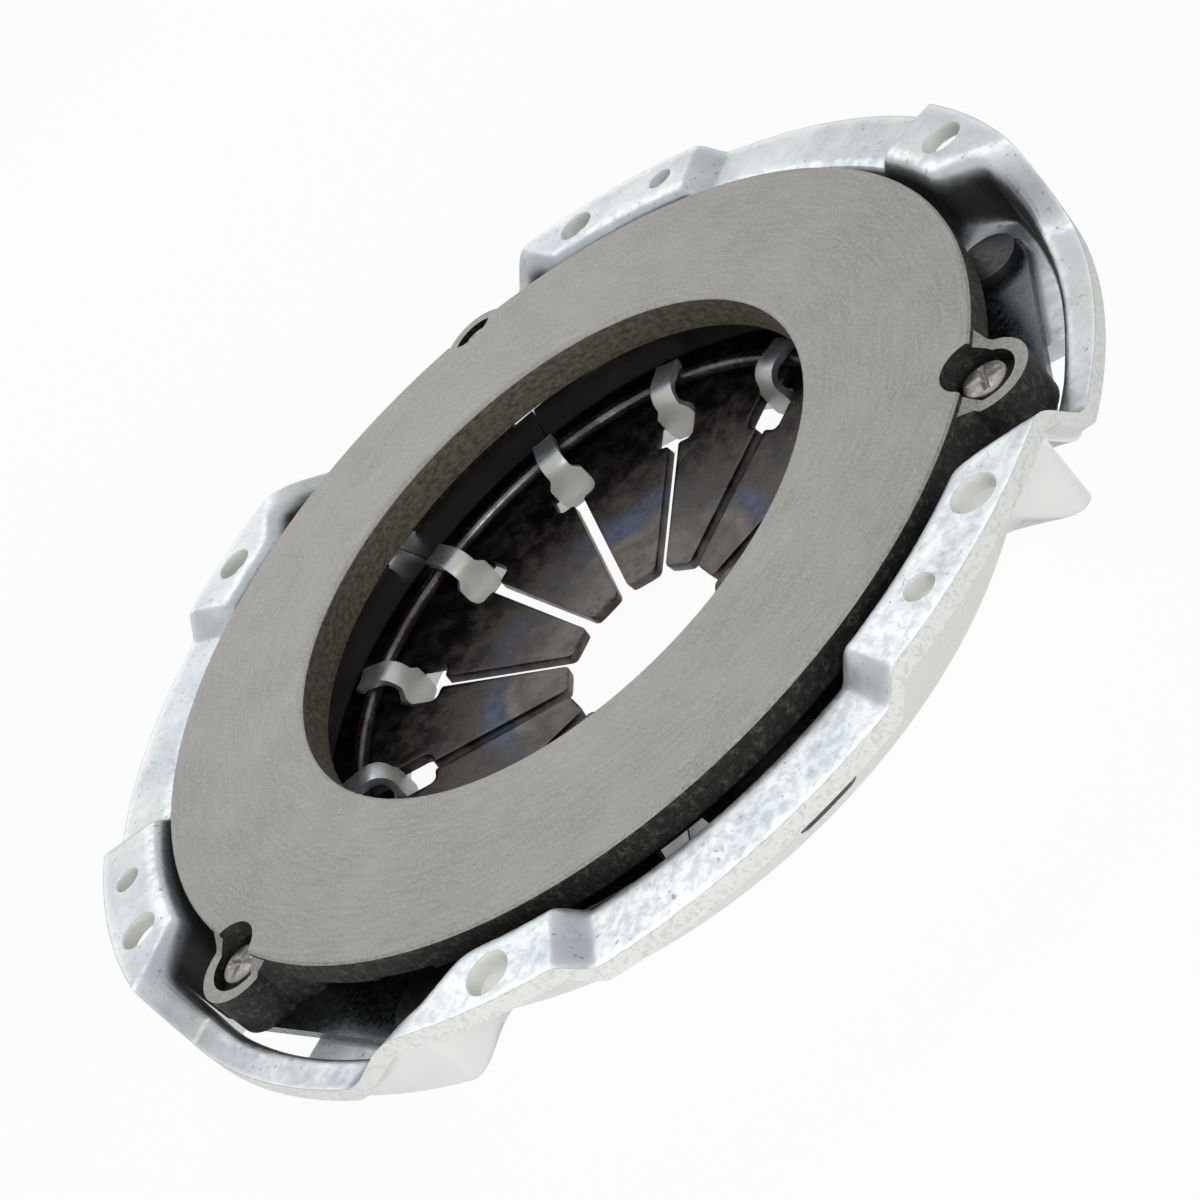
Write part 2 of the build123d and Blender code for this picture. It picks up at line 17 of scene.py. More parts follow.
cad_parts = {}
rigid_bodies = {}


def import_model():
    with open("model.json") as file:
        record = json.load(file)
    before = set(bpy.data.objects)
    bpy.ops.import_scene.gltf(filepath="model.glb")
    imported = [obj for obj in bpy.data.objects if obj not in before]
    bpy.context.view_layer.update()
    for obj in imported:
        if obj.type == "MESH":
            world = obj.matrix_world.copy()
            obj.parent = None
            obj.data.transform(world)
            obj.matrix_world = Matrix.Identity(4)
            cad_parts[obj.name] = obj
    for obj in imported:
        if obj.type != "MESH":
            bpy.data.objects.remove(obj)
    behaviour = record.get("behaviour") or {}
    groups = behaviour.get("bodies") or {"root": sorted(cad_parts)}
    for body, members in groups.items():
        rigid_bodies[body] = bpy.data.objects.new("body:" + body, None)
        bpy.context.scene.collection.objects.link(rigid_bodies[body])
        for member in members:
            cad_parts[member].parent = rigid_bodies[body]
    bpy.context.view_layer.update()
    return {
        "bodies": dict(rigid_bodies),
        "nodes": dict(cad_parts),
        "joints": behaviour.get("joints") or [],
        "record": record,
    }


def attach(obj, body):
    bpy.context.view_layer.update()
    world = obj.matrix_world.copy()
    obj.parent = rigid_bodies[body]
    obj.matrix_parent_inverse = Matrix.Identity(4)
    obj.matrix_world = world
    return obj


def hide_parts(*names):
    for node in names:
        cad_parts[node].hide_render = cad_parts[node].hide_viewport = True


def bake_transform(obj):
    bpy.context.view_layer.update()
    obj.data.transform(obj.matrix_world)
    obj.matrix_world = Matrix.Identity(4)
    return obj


LOG = logging.getLogger("clutch")
MM = 0.001
BAY_PITCH = 120.0
FINGERS = 12
FINGER_PITCH = 30.0
SLOT_ANGLE = 17.5
LUG_ANGLE = 17.7
COVER_RIVET_ANGLE = 45.3
RIVET_CIRCLE = 107.6
BOLT_CIRCLE = 119.0
BOLT_HOLE = 4.5
DOWEL_HOLE = 3.1
DOWELS = (-10.0, -130.0, 107.3)
HOLE_WALL = 0.08

Point = tuple[float, float, float]
Colour = tuple[float, float, float]
Corner = tuple[float, float, float]
Face = tuple[int, ...]
BendLine = tuple[tuple[float, float], tuple[float, float]]
Object = bpy.types.Object
Material = bpy.types.Material
Tree = bpy.types.NodeTree
Socket = bpy.types.NodeSocket


class Body(Enum):
    """Bodies of the frame that more than one class rides on."""

    COVER = "cover_body"
    PLATE = "plate_body"


# ------------------------------------------------------------------ small maths
def smooth(low: float, high: float, value: float) -> float:
    """Smooth step from 0 at low to 1 at high."""
    t = min(max((value - low) / (high - low), 0.0), 1.0)
    return t * t * (3.0 - 2.0 * t)


def mix(first: float, second: float, share: float) -> float:
    """Straight blend of two numbers."""
    return first + (second - first) * share


def polar(radius: float, angle: float, height: float = 0.0) -> Vector:
    """Point from a radius and height in millimetres and an angle in degrees, in metres."""
    a = math.radians(angle)
    return Vector((radius * math.cos(a), radius * math.sin(a), height)) * MM


def rounded_path(corners: Sequence[Corner], bend_steps: int, run_steps: Sequence[int]) -> list[Vector]:
    """Polyline with its corners rounded and a fixed number of points.

    Args:
        corners: Points (x, y, length of the rounding along each side).
        bend_steps: Steps in each rounded corner.
        run_steps: Steps in each straight run.

    Returns:
        The points as 2-D vectors.
    """
    points = [Vector(corner[:2]) for corner in corners]
    result = [points[0].copy()]
    at = points[0]
    for index in range(1, len(points)):
        last = index == len(points) - 1
        back = points[index - 1] - points[index]
        cut = 0.0 if last else min(corners[index][2], 0.48 * back.length)
        if not last:
            cut = min(cut, 0.48 * (points[index + 1] - points[index]).length)
        start = points[index] + back.normalized() * cut
        for step in range(1, run_steps[index - 1] + 1):
            result.append(at.lerp(start, step / run_steps[index - 1]))
        at = start
        if not last:
            end = points[index] + (points[index + 1] - points[index]).normalized() * cut
            for step in range(1, bend_steps + 1):
                t = step / bend_steps
                result.append(start.lerp(points[index], t).lerp(points[index].lerp(end, t), t))
            at = end
    return result


# ------------------------------------------------------------------ mesh helpers
def sheet_faces(rows: int, wide: int, first: int = 0, flip: bool = False) -> list[Face]:
    """Four-sided faces over a grid of points.

    Args:
        rows: Rows of points.
        wide: Points in each row.
        first: Number of the grid's first point.
        flip: Whether the faces look the other way.

    Returns:
        The faces, row by row.
    """
    faces = []
    for row in range(rows - 1):
        for step in range(wide - 1):
            a = first + row * wide + step
            face = (a, a + 1, a + wide + 1, a + wide)
            faces.append((face[0], *reversed(face[1:])) if flip else face)
    return faces


def new_object(name: str, vertices: Iterable[Sequence[float]], faces: Iterable[Sequence[int]]) -> Object:
    """Mesh object linked to the scene.

    Args:
        name: Name of the object and its mesh.
        vertices: Corner points in metres.
        faces: Corner numbers of each face.

    Returns:
        The new object.
    """
    mesh = bpy.data.meshes.new(name)
    mesh.from_pydata([tuple(v) for v in vertices], [], [tuple(f) for f in faces])
    mesh.update()
    obj = bpy.data.objects.new(name, mesh)
    bpy.context.scene.collection.objects.link(obj)
    return obj


def tidy_mesh(obj: Object, merge: float = 1e-6) -> None:
    """Merge doubled points and turn the faces outwards."""
    work = bmesh.new()
    work.from_mesh(obj.data)
    bmesh.ops.remove_doubles(work, verts=work.verts, dist=merge)
    bmesh.ops.recalc_face_normals(work, faces=work.faces)
    work.to_mesh(obj.data)
    work.free()


def apply_modifiers(obj: Object) -> None:
    """Turn the evaluated object into its plain mesh."""
    bpy.context.view_layer.update()
    graph = bpy.context.evaluated_depsgraph_get()
    mesh = bpy.data.meshes.new_from_object(obj.evaluated_get(graph))
    obj.modifiers.clear()
    obj.data = mesh


def shade(obj: Object, angle: float = 35.0) -> None:
    """Smooth shading with edges sharper than an angle kept crisp."""
    mesh = obj.data
    mesh.shade_smooth()
    mesh.set_sharp_from_angle(angle=math.radians(angle))


def add_bevel(obj: Object, width: float, segments: int = 2, angle: float = 50.0, flat: bool = False) -> None:
    """Round the crisp edges of an object.

    Args:
        obj: Object to round.
        width: Width of the rounding in millimetres.
        segments: Steps across the rounding.
        angle: Edges crisper than this many degrees are rounded.
        flat: Whether the faces beside the rounding keep flat shading.
    """
    bevel = obj.modifiers.new("edge_round", "BEVEL")
    bevel.width = width * MM
    bevel.segments = segments
    bevel.limit_method = "ANGLE"
    bevel.angle_limit = math.radians(angle)
    bevel.use_clamp_overlap = True
    bevel.harden_normals = flat


def hole_cutter(centre: Vector, radius: float, low: float, steps: int, flare: float) -> Object:
    """Closed cutter for a hole through the flange, flared at the upper face.

    Args:
        centre: Plan centre in metres.
        radius: Hole radius in millimetres.
        low: Height of the sheet's lower face in millimetres.
        steps: Corners round the hole.
        flare: Width of the softened lip in millimetres.

    Returns:
        The cutter object.
    """
    over = 2.0
    rings = [(low - over, radius), (-flare, radius), (over, radius + flare + over)]
    vertices = []
    for height, r in rings:
        for step in range(steps):
            a = 2 * math.pi * step / steps
            vertices.append((centre.x + r * MM * math.cos(a), centre.y + r * MM * math.sin(a), height * MM))
    faces = [tuple(reversed(range(steps)))]
    for ring in range(len(rings) - 1):
        for step in range(steps):
            a, b = ring * steps + step, ring * steps + (step + 1) % steps
            faces.append((a, b, b + steps, a + steps))
    top = (len(rings) - 1) * steps
    faces.append(tuple(range(top, top + steps)))
    return new_object("cutter", vertices, faces)


def cut(obj: Object, cutters: Sequence[Object]) -> None:
    """Take cutters away from an object and delete them."""
    bpy.context.view_layer.objects.active = obj
    work = bpy.data.collections.new("cutters")
    for cutter in cutters:
        work.objects.link(cutter)
    boolean = obj.modifiers.new("cut", "BOOLEAN")
    boolean.operand_type = "COLLECTION"
    boolean.collection = work
    boolean.solver = "EXACT"
    apply_modifiers(obj)
    for cutter in cutters:
        bpy.data.objects.remove(cutter)
    bpy.data.collections.remove(work)


def spun(name: str, outline: Sequence[tuple[float, float]], steps: int) -> Object:
    """Closed ring or disc turned about the Z axis.

    Args:
        name: Name of the object.
        outline: Closed outline of (radius, height) in millimetres.
        steps: Steps round the axis.

    Returns:
        The new object.
    """
    vertices = [polar(r, 360.0 * step / steps, z) for step in range(steps) for r, z in outline]
    count = len(outline)
    faces = []
    for step in range(steps):
        here, there = step * count, (step + 1) % steps * count
        for index in range(count):
            nxt = (index + 1) % count
            faces.append((here + index, there + index, there + nxt, here + nxt))
    obj = new_object(name, vertices, faces)
    tidy_mesh(obj)
    return obj


# ------------------------------------------------------------------ shader groups
class Sockets:
    """Shorthand for building a node tree."""

    def __init__(self, tree: Tree) -> None:
        """Keep the tree."""
        self.tree = tree

    def node(self, kind: str, **values: object) -> bpy.types.Node:
        """New node with some of its attributes set."""
        made = self.tree.nodes.new(kind)
        for key, value in values.items():
            setattr(made, key, value)
        return made

    def link(self, out: Socket, into: Socket) -> None:
        """Join two sockets."""
        self.tree.links.new(out, into)

    def put(self, value: object, into: Socket) -> None:
        """Feed an input from a socket, or set it to a plain value."""
        if isinstance(value, Socket):
            self.link(value, into)
        else:
            into.default_value = value

    def math(
        self, operation: str, first: object, second: object = 0.0, third: object = 0.0, clamp: bool = False
    ) -> Socket:
        """Math node on numbers or sockets.

        Args:
            operation: Blender's name of the operation.
            first: First value.
            second: Second value.
            third: Third value.
            clamp: Whether to keep the result between 0 and 1.

        Returns:
            The result's socket.
        """
        made = self.node("ShaderNodeMath", operation=operation, use_clamp=clamp)
        for index, value in enumerate((first, second, third)):
            self.put(value, made.inputs[index])
        return made.outputs[0]

    def times(self, first: object, second: object) -> Socket:
        """Product of two values."""
        return self.math("MULTIPLY", first, second)

    def vector(self, operation: str, first: Socket, second: object) -> bpy.types.NodeOutputs:
        """Outputs of a vector math node."""
        made = self.node("ShaderNodeVectorMath", operation=operation)
        self.link(first, made.inputs[0])
        self.put(second, made.inputs[1])
        return made.outputs

    def remap(
        self, value: Socket, low: float, high: float, to_low: float = 0.0, to_high: float = 1.0
    ) -> Socket:
        """Map a range smoothly onto another, clamped."""
        made = self.node("ShaderNodeMapRange", interpolation_type="SMOOTHSTEP")
        self.link(value, made.inputs["Value"])
        for key, number in (("From Min", low), ("From Max", high), ("To Min", to_low), ("To Max", to_high)):
            made.inputs[key].default_value = number
        return made.outputs["Result"]

    def blend(self, share: Socket, first: object, second: object) -> Socket:
        """Colour mix of two colours or sockets."""
        made = self.node("ShaderNodeMix", data_type="RGBA")
        self.link(share, made.inputs[0])
        for socket, value in ((made.inputs[6], first), (made.inputs[7], second)):
            self.put(value if isinstance(value, Socket) else (*value, 1.0), socket)
        return made.outputs[2]

    def tint(self, base: object, mask: Socket, share: float, colour: object) -> Socket:
        """Base colour with another laid over it by a share of a mask."""
        return self.blend(self.times(mask, share), base, colour)

    def noise(
        self, vector: Socket, scale: object, detail: float = 3.0, rough: float = 0.55, distort: float = 0.0
    ) -> Socket:
        """Noise value over a vector."""
        made = self.node("ShaderNodeTexNoise")
        self.link(vector, made.inputs["Vector"])
        self.put(scale, made.inputs["Scale"])
        made.inputs["Detail"].default_value = detail
        made.inputs["Roughness"].default_value = rough
        made.inputs["Distortion"].default_value = distort
        return made.outputs[0]

    def stretched(self, vector: Socket, scale: Point) -> Socket:
        """Vector scaled along each axis."""
        made = self.node("ShaderNodeMapping")
        self.link(vector, made.inputs["Vector"])
        made.inputs["Scale"].default_value = scale
        return made.outputs[0]

    def plane(self, across: Socket, across_scale: float, along: Socket, along_scale: float) -> Socket:
        """Vector of two scaled values."""
        made = self.node("ShaderNodeCombineXYZ")
        self.link(self.times(across, across_scale), made.inputs[0])
        self.link(self.times(along, along_scale), made.inputs[1])
        return made.outputs[0]


def make_group(
    name: str, inputs: Sequence[tuple[str, float]], outputs: Sequence[str]
) -> tuple[Tree, Sockets, bpy.types.NodeOutputs, bpy.types.NodeInputs]:
    """Empty shader group with a Vector input, named number inputs and number outputs.

    Args:
        name: Name of the group.
        inputs: Number inputs with their defaults.
        outputs: Names of the outputs.

    Returns:
        The tree, its helper, the sockets that give its inputs and those that take its outputs.
    """
    tree = bpy.data.node_groups.new(name, "ShaderNodeTree")
    tree.interface.new_socket("Vector", in_out="INPUT", socket_type="NodeSocketVector")
    for label, value in inputs:
        socket = tree.interface.new_socket(label, in_out="INPUT", socket_type="NodeSocketFloat")
        socket.default_value = value
    for label in outputs:
        tree.interface.new_socket(label, in_out="OUTPUT", socket_type="NodeSocketFloat")
    s = Sockets(tree)
    return tree, s, s.node("NodeGroupInput").outputs, s.node("NodeGroupOutput").inputs


@cache
def axis_space() -> Tree:
    """Group that gives a place's radius, angle and height, and how far its face looks inwards."""
    tree, s, given, wanted = make_group("axis_space", (), ("Radius", "Angle", "Height", "Inward"))
    split = s.node("ShaderNodeSeparateXYZ")
    s.link(given["Vector"], split.inputs[0])
    x, y, height = split.outputs
    s.link(s.math("SQRT", s.math("ADD", s.times(x, x), s.times(y, y))), wanted["Radius"])
    s.link(s.math("ARCTAN2", y, x), wanted["Angle"])
    s.link(height, wanted["Height"])
    inwards = s.vector("MULTIPLY", given["Vector"], (-1.0, -1.0, 0.0))[0]
    unit = s.vector("NORMALIZE", inwards, (0.0, 0.0, 0.0))[0]
    facing = s.node("ShaderNodeNewGeometry").outputs["True Normal"]
    s.link(s.vector("DOT_PRODUCT", unit, facing)["Value"], wanted["Inward"])
    return tree


@cache
def hole_walls() -> Tree:
    """Group that marks the walls of the bolt and dowel holes."""
    tree, s, given, wanted = make_group("hole_walls", (), ("Wall",))
    flat = s.vector("MULTIPLY", given["Vector"], (1.0, 1.0, 0.0))[0]
    total: object = 0.0
    places = [(60.0 * index, BOLT_HOLE) for index in range(6)] + [(angle, DOWEL_HOLE) for angle in DOWELS]
    for angle, radius in places:
        away = s.vector("DISTANCE", flat, polar(BOLT_CIRCLE, angle))["Value"]
        total = s.math("MAXIMUM", total, s.math("LESS_THAN", away, (radius + HOLE_WALL) * MM))
    s.link(total, wanted["Wall"])
    return tree


@cache
def blotches() -> Tree:
    """Group of soft stains, coarse grain and fine specks."""
    inputs = (("Scale", 60.0), ("Speck Scale", 900.0))
    tree, s, given, wanted = make_group("stains", inputs, ("Stain", "Speck", "Grain"))
    for label, factor, detail, rough in (("Stain", 1.0, 5.0, 0.62), ("Grain", 7.0, 4.0, 0.7)):
        scale = s.times(given["Scale"], factor)
        s.link(s.remap(s.noise(given["Vector"], scale, detail, rough), 0.35, 0.68), wanted[label])
    speck = s.noise(given["Vector"], given["Speck Scale"], 2.0, 0.5)
    s.link(s.remap(speck, 0.66, 0.74), wanted["Speck"])
    return tree


@cache
def edge_wear() -> Tree:
    """Group that marks worn edges and concave corners."""
    inputs = (("Sharpness", 6.0), ("Scale", 400.0))
    tree, s, given, wanted = make_group("edge_wear", inputs, ("Edge", "Hollow"))
    pointed = s.node("ShaderNodeNewGeometry").outputs["Pointiness"]
    noise = s.noise(given["Vector"], given["Scale"], 2.0, 0.5)
    raised = s.times(s.math("SUBTRACT", pointed, 0.5), given["Sharpness"])
    s.link(s.math("MULTIPLY", raised, s.math("ADD", noise, 0.4), clamp=True), wanted["Edge"])
    s.link(s.math("MULTIPLY", raised, -1.0, clamp=True), wanted["Hollow"])
    return tree


class Palette(Sockets):
    """A material under construction, with its shader and its position vector."""

    def __init__(self, name: str, metallic: float, roughness: float) -> None:
        """Make the material.

        Args:
            name: Name of the material.
            metallic: Metallic value of the whole surface.
            roughness: Starting roughness.
        """
        self.material = bpy.data.materials.new(name)
        self.material.use_nodes = True
        super().__init__(self.material.node_tree)
        self.shader = self.tree.nodes["Principled BSDF"]
        self.shader.inputs["Metallic"].default_value = metallic
        self.shader.inputs["Roughness"].default_value = roughness
        self.position = self.node("ShaderNodeTexCoord").outputs["Object"]

    def group(self, tree: Tree, **values: float) -> bpy.types.NodeOutputs:
        """Outputs of a group fed by the position, with its number inputs set."""
        made = self.node("ShaderNodeGroup")
        made.node_tree = tree
        self.link(self.position, made.inputs["Vector"])
        for key, value in values.items():
            made.inputs[key.replace("_", " ").title()].default_value = value
        return made.outputs

    def feed(self, name: str, socket: Socket) -> None:
        """Join a socket to the shader's input of that name."""
        self.link(socket, self.shader.inputs[name])

    def facing_up(self) -> Socket:
        """Upward part of the true normal."""
        split = self.node("ShaderNodeSeparateXYZ")
        self.link(self.node("ShaderNodeNewGeometry").outputs["True Normal"], split.inputs[0])
        return split.outputs[2]

    def bump(self, height: Socket, distance: float, strength: float = 1.0) -> None:
        """Raise the surface by a height map, distance in millimetres."""
        made = self.node("ShaderNodeBump")
        made.inputs["Distance"].default_value = distance * MM
        made.inputs["Strength"].default_value = strength
        self.link(height, made.inputs["Height"])
        self.link(made.outputs[0], self.shader.inputs["Normal"])


@dataclass(frozen=True)
class ZincSheet:
    """Bright zinc plating on pressed sheet, with smudges, scratches and a torn sheet edge, and with painted
    light and shade: pale downward faces, outer walls, tab faces and hole walls, and dark inner faces in the
    bays.
    """

    light: Colour = (0.60, 0.635, 0.655)
    shadow: Colour = (0.43, 0.47, 0.50)
    smudge: Colour = (0.10, 0.105, 0.10)
    olive: Colour = (0.50, 0.52, 0.43)
    # Pale tone of the torn sheet edge, also laid on downward faces as painted light.
    torn: Colour = (0.62, 0.62, 0.58)
    scuff: Colour = (0.30, 0.27, 0.20)
    painted_shade_dark: Colour = (0.045, 0.045, 0.047)
    tab_painted_light: Colour = (0.88, 0.88, 0.80)
    # Pale tint of outward faces, painted light.
    walls: Colour = (0.74, 0.74, 0.715)
    hole_wall_painted_light: Colour = (0.80, 0.84, 0.74)
    bare: Colour = (0.82, 0.83, 0.82)
    edge_radius: float = 0.12585
    flange_radius: float = 0.100
    outer_radius: float = 0.080
    tab_radius: float = 0.0655
    bay_depth: tuple[float, float] = (-0.0015, -0.0060)
    underside: float = -0.5

    def build(self) -> Material:
        """Material of the cover and its tabs."""
        p = Palette("zinc_sheet", 0.62, 0.40)
        space = p.group(axis_space())
        stains = p.group(blotches(), scale=60.0, speck_scale=700.0)
        wear = p.group(edge_wear(), sharpness=5.0, scale=300.0)
        base = p.blend(stains["Stain"], self.shadow, self.light)
        base = p.tint(base, p.remap(p.noise(p.position, 19.0, 4.0, 0.6, 0.6), 0.42, 0.66), 0.5, self.light)
        base = p.tint(base, p.remap(p.noise(p.position, 31.0, 2.0), 0.55, 0.70), 0.25, self.olive)
        marks = p.noise(p.stretched(p.position, (1.0, 1.0, 6.0)), 260.0, 3.0, 0.6, 1.4)
        base = p.tint(base, p.remap(marks, 0.66, 0.72), 0.35, self.smudge)
        base = p.tint(base, stains["Speck"], 0.6, self.smudge)
        inward, radius = space["Inward"], space["Radius"]
        # Painted light: downward faces take the pale torn-edge tone at 0.7, standing in for light thrown up
        # from the white floor; on the torn sheet edge itself the tone is real.
        under = p.math("LESS_THAN", p.facing_up(), self.underside)
        torn = p.math("GREATER_THAN", radius, self.edge_radius)
        pale = p.math("MAXIMUM", p.times(under, 0.7), torn)
        outside = p.math("GREATER_THAN", radius, self.flange_radius)
        # Painted light: outward faces beyond 80 mm, the torn edge aside, are tinted pale, standing in for
        # light from below on the outer wall and cone.
        outer = p.times(p.math("GREATER_THAN", radius, self.outer_radius), p.remap(inward, -0.15, -0.45))
        outer = p.times(outer, p.math("SUBTRACT", 1.0, torn))
        base = p.tint(base, pale, 0.75, self.torn)
        base = p.tint(base, outer, 0.80, self.walls)
        crumbs = p.remap(p.noise(p.position, 900.0, 3.0, 0.75), 0.52, 0.60)
        base = p.tint(base, p.times(torn, crumbs), 0.60, self.scuff)
        # Painted shade: inward faces outside the flange radius and deeper than the flange are darkened,
        # standing in for the shade inside the bays.
        painted_bay_shade = p.times(outside, p.remap(space["Height"], *self.bay_depth))
        base = p.tint(base, p.times(painted_bay_shade, p.remap(inward, 0.25, 0.75)), 0.86, self.painted_shade_dark)
        # Painted light: the tabs' inward faces are tinted near white, standing in for the light that falls on
        # them.
        tab = p.times(p.math("SUBTRACT", 1.0, outside), p.remap(inward, 0.45, 0.80))
        tab = p.times(tab, p.math("LESS_THAN", radius, self.tab_radius))
        base = p.tint(base, tab, 0.85, self.tab_painted_light)
        # Painted light: the bolt and dowel hole walls are tinted pale, standing in for light from the white
        # floor below.
        holes = p.group(hole_walls())["Wall"]
        base = p.tint(base, holes, 0.8, self.hole_wall_painted_light)
        base = p.tint(base, wear["Edge"], 0.45, self.bare)
        # Concave corners are darkened.
        p.feed("Base Color", p.tint(base, wear["Hollow"], 0.6, self.smudge))
        gloss = p.remap(stains["Grain"], 0.0, 1.0, 0.34, 0.50)
        p.feed("Roughness", p.math("MULTIPLY_ADD", pale, 0.15, gloss))
        # Less metal where painted light lies, and on the torn edge, so the pale tints show.
        bright = p.math("MAXIMUM", p.math("MAXIMUM", tab, holes), p.math("MAXIMUM", pale, outer))
        p.feed("Metallic", p.math("MULTIPLY_ADD", bright, -0.5, 0.66))
        relief = p.math("ADD", p.times(p.noise(p.position, 420.0, 2.0), 0.22), p.noise(p.position, 60.0, 2.0))
        p.bump(p.math("ADD", relief, p.times(p.times(torn, crumbs), -0.8)), 0.10, 0.6)
        return p.material


@dataclass(frozen=True)
class CastPlate:
    """Cast iron: ground face and lug tops, machined bore, rough dark sides."""

    ground: Colour = (0.345, 0.335, 0.315)
    ground_dark: Colour = (0.165, 0.160, 0.150)
    bore: Colour = (0.155, 0.138, 0.10)
    bore_dark: Colour = (0.032, 0.029, 0.022)
    skin: Colour = (0.005, 0.0045, 0.004)
    skin_light: Colour = (0.080, 0.070, 0.052)
    stain: Colour = (0.36, 0.35, 0.325)
    lug_level: float = -0.0040
    bore_radius: float = 0.0688

    def build(self) -> Material:
        """Material of the whole plate, chosen by place."""
        p = Palette("cast_plate", 0.55, 0.5)
        space = p.group(axis_space())
        stains = p.group(blotches(), scale=45.0, speck_scale=1500.0)
        radius, angle, height = space["Radius"], space["Angle"], space["Height"]
        level = p.math("GREATER_THAN", p.facing_up(), 0.5)
        turned = p.times(level, p.math("GREATER_THAN", height, self.lug_level))
        rest = p.math("SUBTRACT", 1.0, turned)
        wall = p.times(p.math("LESS_THAN", radius, self.bore_radius), rest)
        grain = p.remap(p.noise(p.position, 1150.0, 4.0, 0.85), 0.36, 0.64)
        circles = p.remap(p.noise(p.plane(radius, 1300.0, angle, 9.0), 1.0, 3.0, 0.65), 0.36, 0.66)
        sweep = p.math("MULTIPLY_ADD", grain, 0.78, p.times(circles, 0.22))
        face = p.blend(sweep, self.ground_dark, self.ground)
        face = p.tint(face, stains["Stain"], 0.25, self.stain)
        face = p.tint(face, p.remap(p.noise(p.position, 1000.0, 2.0, 0.7), 0.69, 0.74), 0.7, self.skin)
        lines = p.remap(p.noise(p.plane(height, 900.0, angle, 30.0), 1.0, 4.0, 0.75), 0.3, 0.7)
        bored = p.blend(lines, self.bore_dark, self.bore)
        casting = p.remap(p.noise(p.position, 560.0, 5.0, 0.8), 0.48, 0.70)
        skin = p.blend(casting, self.skin, self.skin_light)
        streaks = p.remap(p.noise(p.plane(angle, 95.0, height, 60.0), 1.0, 2.0, 0.6), 0.52, 0.66)
        streaks = p.times(streaks, p.remap(p.noise(p.position, 24.0, 2.0), 0.50, 0.62))
        skin = p.tint(skin, streaks, 0.45, self.skin_light)
        p.feed("Base Color", p.blend(turned, p.blend(wall, skin, bored), face))
        p.feed("Roughness", p.math("MULTIPLY_ADD", rest, 0.14, p.remap(grain, 0.0, 1.0, 0.44, 0.58)))
        p.feed("Metallic", p.math("MULTIPLY_ADD", turned, 0.40, 0.35))
        lumps = p.times(p.noise(p.position, 520.0, 4.0, 0.7), 1.9)
        lumps = p.times(rest, p.math("MULTIPLY_ADD", streaks, 1.2, lumps))
        lumps = p.times(lumps, p.math("MULTIPLY_ADD", wall, -0.75, 1.0))
        p.bump(p.math("MULTIPLY_ADD", sweep, 0.12, lumps), 0.30, 0.9)
        return p.material


@dataclass(frozen=True)
class BluedSpring:
    """Hardened spring steel: dark skin, a blue temper band, mottled finger ends and a light grey outer rim of
    painted light.
    """

    skin: Colour = (0.012, 0.010, 0.010)
    bronze: Colour = (0.060, 0.050, 0.045)
    blue: Colour = (0.030, 0.045, 0.080)
    straw: Colour = (0.115, 0.108, 0.095)
    end: Colour = (0.135, 0.118, 0.108)
    painted_light_grey: Colour = (0.24, 0.24, 0.245)
    end_dark: Colour = (0.040, 0.034, 0.032)
    speck: Colour = (0.2, 0.19, 0.18)
    band_centre: float = 0.0385
    band_half: float = 0.0060
    straw_centre: float = 0.0330
    straw_half: float = 0.0035
    end_radius: float = 0.030
    end_half: float = 0.004
    painted_light_radius: float = 0.079

    def band(self, p: Palette, radius: Socket, centre: float, half: float) -> Socket:
        """Soft band round a radius."""
        away = p.math("ABSOLUTE", p.math("SUBTRACT", radius, centre))
        return p.remap(away, half, 0.0)

    def build(self) -> Material:
        """Material of the fingers, banded by radius."""
        p = Palette("blued_spring", 0.80, 0.36)
        space = p.group(axis_space())
        stains = p.group(blotches(), scale=75.0, speck_scale=1300.0)
        wobble = p.math("MULTIPLY_ADD", p.noise(p.position, 60.0, 4.0, 0.65), 0.014, -0.007)
        radius = p.math("ADD", space["Radius"], wobble)
        mottle = p.remap(p.noise(p.position, 170.0, 5.0, 0.7), 0.38, 0.70)
        base = p.blend(mottle, self.skin, self.bronze)
        patch = p.remap(p.noise(p.position, 38.0, 3.0, 0.6), 0.36, 0.60)
        blue = p.times(self.band(p, radius, self.band_centre, self.band_half), patch)
        base = p.tint(base, blue, 0.8, self.blue)
        straw = p.times(self.band(p, radius, self.straw_centre, self.straw_half), patch)
        base = p.tint(base, straw, 0.55, self.straw)
        ends = p.remap(radius, self.end_radius + self.end_half, self.end_radius - self.end_half)
        base = p.tint(base, ends, 0.85, p.blend(mottle, self.end_dark, self.end))
        # Painted light: beyond this radius the spring turns light grey, standing in for light seen on its rim
        # through the cover's openings.
        rim = p.remap(space["Radius"], self.painted_light_radius, self.painted_light_radius + 0.001)
        base = p.blend(rim, base, self.painted_light_grey)
        p.feed("Base Color", p.tint(base, stains["Speck"], 0.3, self.speck))
        p.feed("Roughness", p.remap(mottle, 0.0, 1.0, 0.28, 0.46))
        p.bump(p.math("ADD", mottle, p.noise(p.position, 900.0, 2.0)), 0.025, 0.5)
        return p.material


